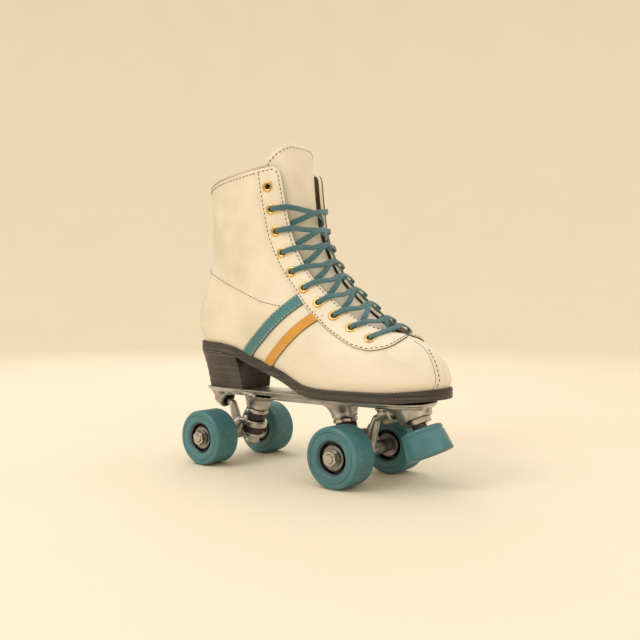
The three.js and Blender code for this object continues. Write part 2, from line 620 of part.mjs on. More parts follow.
function truckBores(front) {
  const bolt = rod(KINGPIN_RADIUS + GAP, onKingpin(1), onKingpin(-KINGPIN_BEDDED - GAP));
  const cup = rod(PIVOT_CUP_RADIUS + GAP, PIVOT.clone().addScaledVector(LEAN, -PIVOT_CUP_MOUTH - 8),
    PIVOT.clone().addScaledVector(LEAN, PIVOT_CUP_DEPTH + GAP), PIVOT_CUP_RADIUS + GAP, 16);
  return [bolt, cup].map((piece) => solid(atAxle(piece, front)));
}

const STOP_WAY = new THREE.Vector3(Math.sin(TOE_STOP_TILT), 0, -Math.cos(TOE_STOP_TILT));
const STOP_ROOT = new THREE.Vector3(FRONT_AXLE + TOE_STOP_AHEAD, 0, PLATE_BOTTOM);
const onStem = (depth) => STOP_ROOT.clone().addScaledVector(STOP_WAY, depth);

const BOLTS = [["rear", REAR_AXLE - REAR_BOLT.x, REAR_BOLT.y], ["front", FRONT_AXLE + FRONT_BOLT.x, FRONT_BOLT.y]]
  .flatMap(([end, x, y]) => [[`${end}_right`, x, -y], [`${end}_left`, x, y]]);
const boltDrills = () => BOLTS.map(([, x, y]) => solid(rod(BOLT_RADIUS + GAP,
  new THREE.Vector3(x, y, PLATE_BOTTOM - 1), new THREE.Vector3(x, y, PLATE_TOP + BOLT_BITE + GAP), undefined, 12)));

function makePlate() {
  const rib = new THREE.BoxGeometry(WHEELBASE - 2 * KINGPIN_INBOARD, 9, 7);
  rib.translate(0, 0, PLATE_BOTTOM - 2.5);
  const toeBoss = rod(TOE_BOSS_RADIUS, onStem(TOE_BOSS_DROP), onStem(-9), TOE_BOSS_RADIUS + 5, 18);
  const above = new THREE.BoxGeometry(600, 200, 60);
  above.translate(0, 0, PLATE_TOP + 30);
  const body = joined(plateSlab(PLATE_BOTTOM, PLATE_TOP - 1.5, 1.6), plateSlab(PLATE_TOP - 2.6, PLATE_TOP, 0),
    solid(rib), solid(toeBoss), ...truckBosses(false), ...truckBosses(true));
  const stemBore = rod(STEM_RADIUS + GAP, onStem(TOE_BOSS_DROP + 1), onStem(-12), undefined, 20);
  return cut(body, solid(above), solid(stemBore), ...truckBores(false), ...truckBores(true), ...boltDrills());
}

// ---- trucks ------------------------------------------------------------------------------------------
const HUB_FACE = TRACK / 2 - BEARING_SPAN / 2; // inner face of the inner bearing

function makeHanger() {
  const half = HUB_FACE - AXLE_TUBE_END_GAP;
  const tube = rod(AXLE_TUBE_RADIUS, at(0, -half, 0), at(0, half, 0), undefined, 16);
  const yoke = rod(YOKE_RADIUS, onKingpin(YOKE_DEPTH), onKingpin(YOKE_DEPTH + YOKE_HEIGHT), undefined, 16);
  const out = new THREE.Vector3(-DOWN.z, 0, DOWN.x).negate(); // square to the kingpin, towards the axle
  const beside = (reach, depth) => YOKE.clone().addScaledVector(out, reach).addScaledVector(DOWN, depth);
  const face = YOKE_HEIGHT / 2;
  const outline = [beside(8, -face), beside(17, -face + 0.5), at(-4.5, 0, 4.5), at(0, 0, -2),
    at(6, 0, 1), beside(13, face + 6), beside(13, face), beside(8, face)];
  const neck = new THREE.ExtrudeGeometry(new THREE.Shape(outline.map((p) => new THREE.Vector2(p.x, p.z))),
    { depth: 22, bevelEnabled: false });
  neck.rotateX(Math.PI / 2).translate(0, 11, 0);
  const wings = [-1, 1].map((side) =>
    solid(rod(4.6, beside(10, -0.5).setY(side * 9), at(0, side * 23, 1.5), 5, 12)));
  const elbow = PIVOT.clone().addScaledVector(LEAN, -12.4);
  const arm = rod(6, at(0, 0, 0), elbow, 4.6, 16);
  const bend = new THREE.SphereGeometry(4.6, 10, 6).translate(elbow.x, 0, elbow.z);
  const nose = rod(PIVOT_NECK + 0.8, elbow, PIVOT, PIVOT_NECK, 16);
  const ball = new THREE.SphereGeometry(PIVOT_BALL, 10, 6).translate(PIVOT.x, 0, PIVOT.z);
  const pockets = [[CUSHION_RADIUS + CUP_WALL + 2, -8, 0], [LOWER_CUSHION_RADIUS + CUP_WALL + 1.9, YOKE_HEIGHT, 32]]
    .map(([radius, ...ends]) => [radius, ...ends.map((depth) => onKingpin(YOKE_DEPTH + depth))])
    .map(([radius, from, to]) => solid(rod(radius, from, to, radius, 16)));
  const bore = rod(KINGPIN_RADIUS + YOKE_SLACK, onKingpin(YOKE_DEPTH - 1), onKingpin(YOKE_DEPTH + YOKE_HEIGHT + 1));
  const axleBore = rod(AXLE_RADIUS + GAP, at(0, -half - 1, 0), at(0, half + 1, 0));
  const bars = [tube, yoke, neck, arm, bend, nose, ball].map(solid);
  return cut(joined(...bars, ...wings), ...pockets, solid(bore), solid(axleBore));
}

const AXLE_HALF = TRACK / 2 + WHEEL_WIDTH / 2 + AXLE_PROUD;
const cupProfile = (radius) => [[KINGPIN_RADIUS + GAP, 0], [radius + GAP + CUP_WALL, 0],
  [radius + GAP + CUP_WALL, CUP_BASE + CUP_RIM], [radius + GAP, CUP_BASE + CUP_RIM], [radius + GAP, CUP_BASE],
  [KINGPIN_RADIUS + GAP, CUP_BASE]];
const cushionProfile = (radius, height) => [[KINGPIN_RADIUS + 0.8, 0], [radius - 0.6, 0], [radius, height * 0.25],
  [radius, height * 0.75], [radius - 0.6, height], [KINGPIN_RADIUS + 0.8, height]];

function hexNut(across, height, bore) {
  const nut = new THREE.CylinderGeometry(across / Math.sqrt(3), across / Math.sqrt(3), height, 6);
  return cut(solid(nut), solid(new THREE.CylinderGeometry(bore, bore, height + 2, 16)));
}

const stacked = (geometry, depth) => aim(geometry, DOWN, onKingpin(depth));

function addTruck(front) {
  const name = front ? "front" : "rear";
  const truck = new THREE.Group();
  truck.position.set(front ? FRONT_AXLE : REAR_AXLE, 0, WHEEL_RADIUS);
  truck.rotation.z = front ? Math.PI : 0;
  skate.add(truck);
  addPart(`${name}_hanger`, makeHanger(), CAST_ALLOY, truck);
  addPart(`${name}_axle`, rod(AXLE_RADIUS, at(0, -AXLE_HALF, 0), at(0, AXLE_HALF, 0)), STEEL, truck);
  let depth = GAP;
  addPart(`${name}_upper_cup`, stacked(turned(cupProfile(CUSHION_RADIUS), 16), depth), STEEL, truck);
  depth += CUP_BASE + GAP;
  addPart(`${name}_upper_cushion`, stacked(turned(cushionProfile(CUSHION_RADIUS, UPPER_CUSHION), 16), depth),
    BLACK_RUBBER, truck);
  depth = YOKE_DEPTH + YOKE_HEIGHT + GAP;
  addPart(`${name}_lower_cushion`, stacked(turned(cushionProfile(LOWER_CUSHION_RADIUS, LOWER_CUSHION), 16), depth),
    BLACK_RUBBER, truck);
  depth += LOWER_CUSHION + GAP + CUP_BASE;
  const lowerCup = cupProfile(LOWER_CUSHION_RADIUS).map(([radius, height]) => [radius, -height]);
  addPart(`${name}_lower_cup`, stacked(turned(lowerCup, 16), depth), STEEL, truck);
  depth += GAP + KINGPIN_NUT_HEIGHT / 2;
  const nut = geometryOf(hexNut(KINGPIN_NUT_ACROSS, KINGPIN_NUT_HEIGHT, KINGPIN_RADIUS + GAP));
  addPart(`${name}_kingpin_nut`, stacked(nut, depth), STEEL, truck);
  depth += KINGPIN_NUT_HEIGHT / 2 + KINGPIN_PROUD;
  addPart(`${name}_kingpin`, rod(KINGPIN_RADIUS, onKingpin(-KINGPIN_BEDDED), onKingpin(depth)), STEEL, truck);
  const inner = PIVOT_BALL + 2 * GAP;
  const cup = [[0, inner], [inner * Math.SQRT1_2, inner * Math.SQRT1_2], [inner, 0], [inner, -PIVOT_CUP_MOUTH],
    [PIVOT_CUP_RADIUS, -PIVOT_CUP_MOUTH], [PIVOT_CUP_RADIUS, PIVOT_CUP_DEPTH], [0, PIVOT_CUP_DEPTH]];
  addPart(`${name}_pivot_cup`, aim(turned(cup), LEAN, PIVOT), BLACK_RUBBER, truck);
  for (const side of [-1, 1]) addWheel(truck, name, side, front);
}

// ---- wheels ------------------------------------------------------------------------------------------
const flatDown = Math.PI / WHEEL_SEGMENTS; // turns a flat of the tread to the floor
function addWheel(truck, end, side, front) {
  const name = `${end}_${side * (front ? -1 : 1) > 0 ? "left" : "right"}`;
  const wheel = new THREE.Group();
  wheel.position.y = side * (TRACK / 2);
  truck.add(wheel);
  const [tread, half, hub] = [WHEEL_RADIUS / Math.cos(flatDown), WHEEL_WIDTH / 2, HUB_WIDTH / 2];
  const edge = HUB_RADIUS + GAP;
  const section = [[edge, -hub], [edge + 2, -half], [24, -half], [tread, -half + 4.5]];
  const mirrored = section.map(([radius, y]) => [radius, -y]).reverse();
  addPart(`${name}_tyre`, turned([...section, ...mirrored], WHEEL_SEGMENTS, flatDown), TEAL_URETHANE, wheel);
  const seat = BEARING_RADIUS + GAP;
  const shoulder = BEARING_SPAN / 2 - BEARING_WIDTH - GAP;
  const core = [[seat, -hub], [HUB_RADIUS, -hub], [HUB_RADIUS, hub], [seat, hub], [seat, shoulder],
    [seat - 3, shoulder], [seat - 3, -shoulder], [seat, -shoulder]];
  addPart(`${name}_hub`, turned(core, 16), HUB_GREY, wheel);
  const race = [[AXLE_RADIUS + GAP, 0], [BEARING_RADIUS, 0], [BEARING_RADIUS, BEARING_WIDTH],
    [AXLE_RADIUS + GAP, BEARING_WIDTH]];
  for (const [place, out] of [["inner_bearing", -side], ["outer_bearing", side]]) {
    const bearing = addPart(`${name}_${place}`, turned(race), STEEL, wheel);
    bearing.position.y = out > 0 ? BEARING_SPAN / 2 - BEARING_WIDTH : -BEARING_SPAN / 2;
  }
  const hexagon = hexNut(AXLE_NUT_ACROSS, AXLE_NUT_HEIGHT, AXLE_RADIUS + GAP);
  const nut = addPart(`${name}_axle_nut`, hexagon, STEEL, wheel);
  nut.position.y = side * (BEARING_SPAN / 2 + GAP + AXLE_NUT_HEIGHT / 2);
}

// ---- toe stop ----------------------------------------------------------------------------------------
function addToeStop() {
  const drop = TOE_STOP_DROP;
  const [top, face, tall] = [TOE_STOP_TOP_RADIUS, TOE_STOP_FACE_RADIUS, TOE_STOP_HEIGHT];
  const pocket = STEM_RADIUS + GAP;
  const section = [[0, STEM_BEDDED + GAP], [pocket, STEM_BEDDED + GAP], [pocket, 0], [top - 2, 0], [top, 2],
    [face, tall - 2], [face - 1, tall], [face - 4, tall], [face - 6, tall - TOE_STOP_DISH],
    [0, tall - TOE_STOP_DISH]];
  addPart("toe_stop_rubber", aim(turned(section, 24), STOP_WAY, onStem(drop)), TEAL_URETHANE);
  const stemTop = 3; // under the plate's underside, so that the stem can be screwed further in
  addPart("toe_stop_stem", rod(STEM_RADIUS, onStem(stemTop), onStem(drop + STEM_BEDDED), undefined, 20), STEEL);
  const nut = hexNut(JAM_NUT_RADIUS * Math.sqrt(3), JAM_NUT_HEIGHT, STEM_RADIUS + GAP);
  const nutMiddle = onStem(TOE_BOSS_DROP + GAP + JAM_NUT_HEIGHT / 2);
  addPart("toe_stop_jam_nut", aim(geometryOf(nut), STOP_WAY, nutMiddle), STEEL);
}

// ---- assembly ----------------------------------------------------------------------------------------
addPart("boot_upper", makeUpper(), WHITE_LEATHER);
addPart("tongue", makeTongue(), WHITE_LEATHER);
addPart("insole", makeInsole(), LINING);
addPart("facing_right", makeFacing(RIGHT), WHITE_LEATHER);
addPart("facing_left", makeFacing(LEFT), WHITE_LEATHER);
addPart("lace", joined(makeStrand(RIGHT), makeStrand(LEFT)), TEAL_LACE);
for (const [colour, stripe] of Object.entries(STRIPES)) {
  addPart(`stripe_${colour}_right`, makeStripe(stripe, RIGHT), stripe.material);
  addPart(`stripe_${colour}_left`, makeStripe(stripe, LEFT), stripe.material);
}
addPart("welt", soleLayer(WELT_DEPTH, GAP, WELT_PROUD), STACKED_LEATHER);
addPart("outsole", cut(soleLayer(OUTSOLE_DEPTH, WELT_DEPTH + GAP, WELT_PROUD), ...boltDrills()), STACKED_LEATHER);
addPart("heel_block", cut(makeHeel(), ...boltDrills()), STACKED_LEATHER);
addPart("plate", makePlate(), CAST_ALLOY);
for (const front of [true, false]) addTruck(front);
addToeStop();
for (const [place, x, y] of BOLTS) {
  const shank = rod(BOLT_RADIUS, at(x, y, PLATE_BOTTOM - GAP - 1), at(x, y, PLATE_TOP + BOLT_BITE), undefined, 12);
  const head = rod(BOLT_HEAD_RADIUS, at(x, y, PLATE_BOTTOM - GAP - BOLT_HEAD_HEIGHT),
    at(x, y, PLATE_BOTTOM - GAP), undefined, 6);
  addPart(`mounting_bolt_${place}`, joined(solid(shank), solid(head)), STEEL);
}

const box = new THREE.Box3().setFromObject(skate, true);
skate.position.set(-(box.min.x + box.max.x) / 2, 0, 0);
export default skate;
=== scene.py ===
"""Quad roller skate: a cream leather high-top boot on a heeled sole, an alloy plate, trucks, wheels and a toe stop.

Lengths are laid out in millimetres about the middle of the wheelbase, +X to the toe and +Y to the wearer's
left, and become metres in the frame's own place when a mesh is made.
"""
import logging
import math
from collections.abc import Callable, Iterable, Sequence
from dataclasses import dataclass, field
from enum import Enum
from functools import lru_cache

import bmesh
import bpy
import numpy as np
from mathutils import Matrix, Vector


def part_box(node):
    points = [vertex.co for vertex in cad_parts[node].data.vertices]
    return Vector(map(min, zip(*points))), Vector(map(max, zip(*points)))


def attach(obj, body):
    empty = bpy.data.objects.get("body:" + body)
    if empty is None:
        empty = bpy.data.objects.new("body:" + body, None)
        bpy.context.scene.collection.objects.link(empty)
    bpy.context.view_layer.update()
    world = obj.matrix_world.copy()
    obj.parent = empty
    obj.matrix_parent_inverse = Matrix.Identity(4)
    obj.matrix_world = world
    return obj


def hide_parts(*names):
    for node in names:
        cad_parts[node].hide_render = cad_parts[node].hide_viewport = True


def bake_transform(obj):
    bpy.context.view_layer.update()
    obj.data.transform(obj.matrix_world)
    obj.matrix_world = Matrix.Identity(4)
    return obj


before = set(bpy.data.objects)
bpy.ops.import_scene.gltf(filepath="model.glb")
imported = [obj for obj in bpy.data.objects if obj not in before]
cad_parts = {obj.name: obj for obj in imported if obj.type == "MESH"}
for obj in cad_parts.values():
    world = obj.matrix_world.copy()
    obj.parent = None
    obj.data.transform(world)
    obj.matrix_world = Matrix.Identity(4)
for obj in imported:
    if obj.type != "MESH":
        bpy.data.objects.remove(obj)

logging.basicConfig(level=logging.INFO, format="%(message)s")
LOG = logging.getLogger("skate")
Piece = bpy.types.Object
Pair = tuple[float, float]
MM = 0.001
UP = Vector((0, 0, 1))


class Side(Enum):
    """A side of the skate, with its sign along the girth lines."""

    RIGHT = 1
    LEFT = -1


class End(Enum):
    """An end of the plate, with the sign of X from the middle to its axle."""

    FRONT = 1
    REAR = -1

    @property
    def label(self) -> str:
        """The word that the frame's names use for this end."""
        return self.name.lower()


def smooth(pairs: Sequence[Pair], t: float) -> float:
    """Reads a smooth curve that never overshoots its points.

    Args:
        pairs: The points, as (place, value), in order.
        t: The place to read.
    Returns:
        The value there.
    """
    last = len(pairs) - 1
    if t <= pairs[0][0]:
        return pairs[0][1]
    if t >= pairs[last][0]:
        return pairs[last][1]
    k = next(i for i, (at, _) in enumerate(pairs) if at > t) - 1

    def slope(i: int) -> float:
        """Gives the slope of a stretch."""
        return (pairs[i + 1][1] - pairs[i][1]) / (pairs[i + 1][0] - pairs[i][0])

    def tangent(i: int) -> float:
        """Gives the slope at a point."""
        if i == 0:
            return slope(0)
        if i == last:
            return slope(last - 1)
        before, after = slope(i - 1), slope(i)
        return 0.0 if before * after <= 0 else 2 * before * after / (before + after)

    width = pairs[k + 1][0] - pairs[k][0]
    u = (t - pairs[k][0]) / width
    a, b = pairs[k][1], pairs[k + 1][1]
    da, db = tangent(k) * width, tangent(k + 1) * width
    return a + u * da + u * u * (3 * (b - a) - 2 * da - db) + u * u * u * (2 * (a - b) + da + db)


def run_lengths(points: Sequence[Sequence[float]]) -> np.ndarray:
    """Measures a line of points."""
    steps = np.linalg.norm(np.diff(np.array(points), axis=0), axis=1)
    return np.concatenate([[0], np.cumsum(steps)])


def round_turn(count: int) -> list[Pair]:
    """Lists the cosine and the sine of evenly spaced angles, once round."""
    return [(math.cos(a), math.sin(a)) for a in np.linspace(0, 2 * math.pi, count, endpoint=False)]


def lerp(a: float, b: float, share: float) -> float:
    """Mixes two numbers."""
    return a + (b - a) * share


def middle_of_wheelbase() -> float:
    """Finds the middle of the wheelbase in the frame."""
    axles = [sum((corner.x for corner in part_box(f"{end.label}_right_tyre"))) / 2 for end in End]
    return sum(axles) / 2 / MM


SHIFT = Vector((middle_of_wheelbase(), 0, 0))


def place(point: Vector) -> Vector:
    """Turns a laid-out point into the frame's."""
    return (point + SHIFT) * MM


# ---- meshes
def new_object(name: str, mesh: bpy.types.Mesh) -> Piece:
    """Puts a mesh in the scene with smooth faces.

    Args:
        name: The piece's name.
        mesh: Its mesh, in the frame.
    Returns:
        The new object.
    """
    obj = bpy.data.objects.new(f"{name.replace(' ', '_')}_look", mesh)
    bpy.context.scene.collection.objects.link(obj)
    return obj


def mesh_object(name: str, points: Iterable[Vector], faces: Iterable[Sequence[int]], flat: float = 40.0,
                paint: Sequence[int] = ()) -> Piece:
    """Makes an object from laid-out points, with its faces turned out and its seams merged.

    Args:
        name: The piece's name.
        points: Its points, in millimetres.
        faces: Its faces.
        flat: The angle in degrees past which an edge stays sharp.
        paint: The material index of each face, where there are several.
    Returns:
        The new object.
    """
    mesh = bpy.data.meshes.new(name)
    mesh.from_pydata([place(point) for point in points], [], [tuple(face) for face in faces])
    if len(paint):
        mesh.polygons.foreach_set("material_index", list(paint))
    return new_object(name, tidy(mesh, flat))


def tidy(mesh: bpy.types.Mesh, flat: float = 40.0, weld: float = 2e-6) -> bpy.types.Mesh:
    """Welds doubled points, turns the faces out and shades the mesh.

    Args:
        mesh: The mesh to tidy.
        flat: The angle in degrees past which an edge stays sharp.
        weld: The distance within which points are one, in metres.
    Returns:
        The same mesh.
    """
    made = bmesh.new()
    made.from_mesh(mesh)
    bmesh.ops.remove_doubles(made, verts=made.verts, dist=weld)
    bmesh.ops.dissolve_degenerate(made, edges=made.edges, dist=weld / 4)
    bmesh.ops.recalc_face_normals(made, faces=made.faces)
    for edge in made.edges:
        edge.smooth = len(edge.link_faces) == 2 and edge.calc_face_angle(0) < math.radians(flat)
    for face in made.faces:
        face.smooth = True
    made.to_mesh(mesh)
    made.free()
    return mesh


def grid_faces(rows: int, columns: int, wrap: bool = False) -> list[tuple[int, int, int, int]]:
    """Lists the faces of a grid of points stored row after row."""
    across = columns if wrap else columns - 1
    return [(r * columns + c, r * columns + (c + 1) % columns, (r + 1) * columns + (c + 1) % columns,
             (r + 1) * columns + c) for r in range(rows - 1) for c in range(across)]


def shell_faces(rows: int, columns: int) -> list[tuple[int, ...]]:
    """Lists the faces of a closed sheet: its outer grid, its inner one and its rim.

    Args:
        rows: The number of rows of each grid.
        columns: The number of points in a row.
    Returns:
        The faces, with the inner grid's points after the outer grid's.
    """
    count, grid = rows * columns, grid_faces(rows, columns)
    rim = [*range(columns), *(r * columns + columns - 1 for r in range(1, rows))]
    rim += [(rows - 1) * columns + c for c in range(columns - 2, -1, -1)] + [r * columns for r in range(rows - 2, 0, -1)]
    faces = [*grid, *(tuple(count + i for i in reversed(face)) for face in grid)]
    return faces + [(a, count + a, count + b, b) for a, b in zip(rim, rim[1:] + rim[:1])]


def lofted(name: str, rings: Sequence[Sequence[Vector]], flat: float = 40.0) -> Piece:
    """Makes a closed piece through rings of points, with a flat face at each end.

    Args:
        name: The piece's name.
        rings: The rings, each with the same number of points.
        flat: The angle in degrees past which an edge stays sharp.
    Returns:
        The new object.
    """
    n = len(rings[0])
    faces: list[tuple[int, ...]] = list(grid_faces(len(rings), n, True))
    faces += [tuple(reversed(range(n))), tuple(range((len(rings) - 1) * n, len(rings) * n))]
    return mesh_object(name, [point for ring in rings for point in ring], faces, flat)


def frame_about(axis: Vector) -> Matrix:
    """Makes the turn that takes +Z to an axis."""
    return axis.to_track_quat("Z", "Y").to_matrix()


def rounded(profile: Sequence[Pair], radius: float, steps: int = 3) -> list[Pair]:
    """Rounds the corners of an open or closed profile that are off the axis.

    Args:
        profile: The corners, as (radius, height).
        radius: The largest rounding.
        steps: The number of stretches round a corner.
    Returns:
        The rounded profile.
    """
    closed = profile[0][0] > 0
    corners = [Vector(point) for point in profile]
    made: list[Pair] = []
    for i, corner in enumerate(corners):
        if not closed and i in (0, len(corners) - 1):
            made.append(tuple(corner))
            continue
        before, after = corners[i - 1] - corner, corners[(i + 1) % len(corners)] - corner
        cut = min(radius, before.length * 0.45, after.length * 0.45)
        a, b = corner + before.normalized() * cut, corner + after.normalized() * cut
        for k in range(steps + 1):
            u = k / steps
            made.append(tuple(a * (1 - u) ** 2 + corner * 2 * u * (1 - u) + b * u * u))
    return made


def turned(name: str, profile: Sequence[Pair], origin: Vector, axis: Vector, segments: int = 64,
           rounding: float = 0.4, steps: int = 3) -> Piece:
    """Turns a profile about an axis.

    Args:
        name: The piece's name.
        profile: Its corners as (radius, height along the axis), closed on itself or ending on the axis.
        origin: The point at height 0.
        axis: The axis's direction.
        segments: The number of stretches round.
        rounding: The largest rounding of a corner.
        steps: The number of stretches round a corner.
    Returns:
        The new object.
    """
    outline = rounded(profile, rounding, steps)
    turn = frame_about(axis)
    closed = profile[0][0] > 0
    rows = outline + outline[:1] if closed else outline
    points = [origin + turn @ Vector((r * c, r * s, h)) for r, h in rows for c, s in round_turn(segments)]
    return mesh_object(name, points, grid_faces(len(rows), segments, True), 50)


def hexagonal(name: str, across: float, height: float, bore: float, origin: Vector, axis: Vector,
              spin: float = 0.0) -> Piece:
    """Makes a hexagonal nut with turned-off corners.

    Args:
        name: The piece's name.
        across: The distance across its flats.
        height: Its height.
        bore: The radius of its bore, or 0 for a bolt's head.
        origin: The middle of its lower face.
        axis: The direction of its height.
        spin: Its turn about the axis.
    Returns:
        The new object.
    """
    segments, turn, corner = 72, frame_about(axis), across / math.sqrt(3)

    def flat_radius(a: float) -> float:
        """Gives the distance of the flats at an angle."""
        return across / 2 / math.cos((a + spin) % (math.pi / 3) - math.pi / 6)

    rows = []
    for level, share in ((0.0, 0.93), (0.08, 1.0), (0.92, 1.0), (1.0, 0.93)):
        reach = [min(flat_radius(a), corner * share) for a in np.linspace(0, 2 * math.pi, segments, endpoint=False)]
        rows.append([origin + turn @ Vector((r * c, r * s, height * level))
                     for r, (c, s) in zip(reach, round_turn(segments))])
    for share, level in ((1.12, 1.0), (1.0, 0.93), (1.0, 0.07), (1.12, 0.0)):
        r = max(bore, 0.01) * share
        rows.append([origin + turn @ Vector((r * c, r * s, height * level)) for c, s in round_turn(segments)])
    rows.append(rows[0])
    return mesh_object(name, [point for row in rows for point in row], grid_faces(len(rows), segments, True), 25)


def swept(name: str, path: Sequence[Vector], radii: Sequence[float] | float, sides: int = 16) -> Piece:
    """Makes a round bar along a path, closed at both ends.

    Args:
        name: The piece's name.
        path: The points that it follows.
        radii: Its radius, or one for each point.
        sides: The number of sides round it.
    Returns:
        The new object.
    """
    sizes = [radii] * len(path) if isinstance(radii, (int, float)) else list(radii)
    rings, normal = [], None
    for i, (point, radius) in enumerate(zip(path, sizes)):
        along = (path[min(i + 1, len(path) - 1)] - path[max(i - 1, 0)]).normalized()
        if normal is None:
            normal = along.orthogonal().normalized()
        normal = (normal - along * normal.dot(along)).normalized()
        other = along.cross(normal)
        rings.append([point + (normal * c + other * s) * radius for c, s in round_turn(sides)])
    return lofted(name, rings, 60)


def join(name: str, pieces: Sequence[Piece]) -> Piece:
    """Puts several objects into one, keeping their materials.

    Args:
        name: The new piece's name.
        pieces: The objects, which are used up.
    Returns:
        The joined object.
    """
    with bpy.context.temp_override(active_object=pieces[0], selected_editable_objects=list(pieces)):
        bpy.ops.object.join()
    pieces[0].name = f"{name.replace(' ', '_')}_look"
    return pieces[0]


def baked(obj: Piece) -> Piece:
    """Applies an object's modifiers to its mesh.

    Args:
        obj: The object.
    Returns:
        The same object, with no modifiers.
    """
    graph = bpy.context.evaluated_depsgraph_get()
    mesh = bpy.data.meshes.new_from_object(obj.evaluated_get(graph))
    obj.modifiers.clear()
    obj.data = mesh
    mesh.name = obj.name
    return obj


def cut_away(obj: Piece, tools: Sequence[Piece]) -> Piece:
    """Cuts shapes out of an object.

    Args:
        obj: The object.
        tools: The shapes, which are used up.
    Returns:
        The same object.
    """
    for tool in tools:
        cutter = obj.modifiers.new(tool.name, "BOOLEAN")
        cutter.operation, cutter.object, cutter.solver = "DIFFERENCE", tool, "MANIFOLD"
    baked(obj)
    for tool in tools:
        bpy.data.objects.remove(tool)
    return obj


def cast(name: str, pieces: Sequence[Piece], cuts: Sequence[Piece], voxel: float,
         soften: int = 6) -> Piece:
    """Makes one casting with soft fillets from overlapping shapes.

    Args:
        name: The casting's name.
        pieces: The shapes that are joined, which are used up.
        cuts: The shapes that are cut away, which are used up.
        voxel: The grain of the casting's surface, in millimetres.
        soften: How often the surface is smoothed.
    Returns:
        The casting.
    """
    body = join(name, pieces)
    remesh = body.modifiers.new("cast", "REMESH")
    remesh.mode, remesh.voxel_size = "VOXEL", voxel * MM
    fillet = body.modifiers.new("fillet", "SMOOTH")
    fillet.factor, fillet.iterations = 0.5, soften
    baked(body)
    if cuts:
        cut_away(body, cuts)
    tidy(body.data, 35)
    return body


# ---- the last
@dataclass(frozen=True)
class Girth:
    """A line round the boot. Lengths are shares of the sole's, heights of the shaft's and widths of the ball's."""

    front: Pair
    back: Pair
    heel: float
    waist: float
    ball: float
    widest: float
    squareness: float


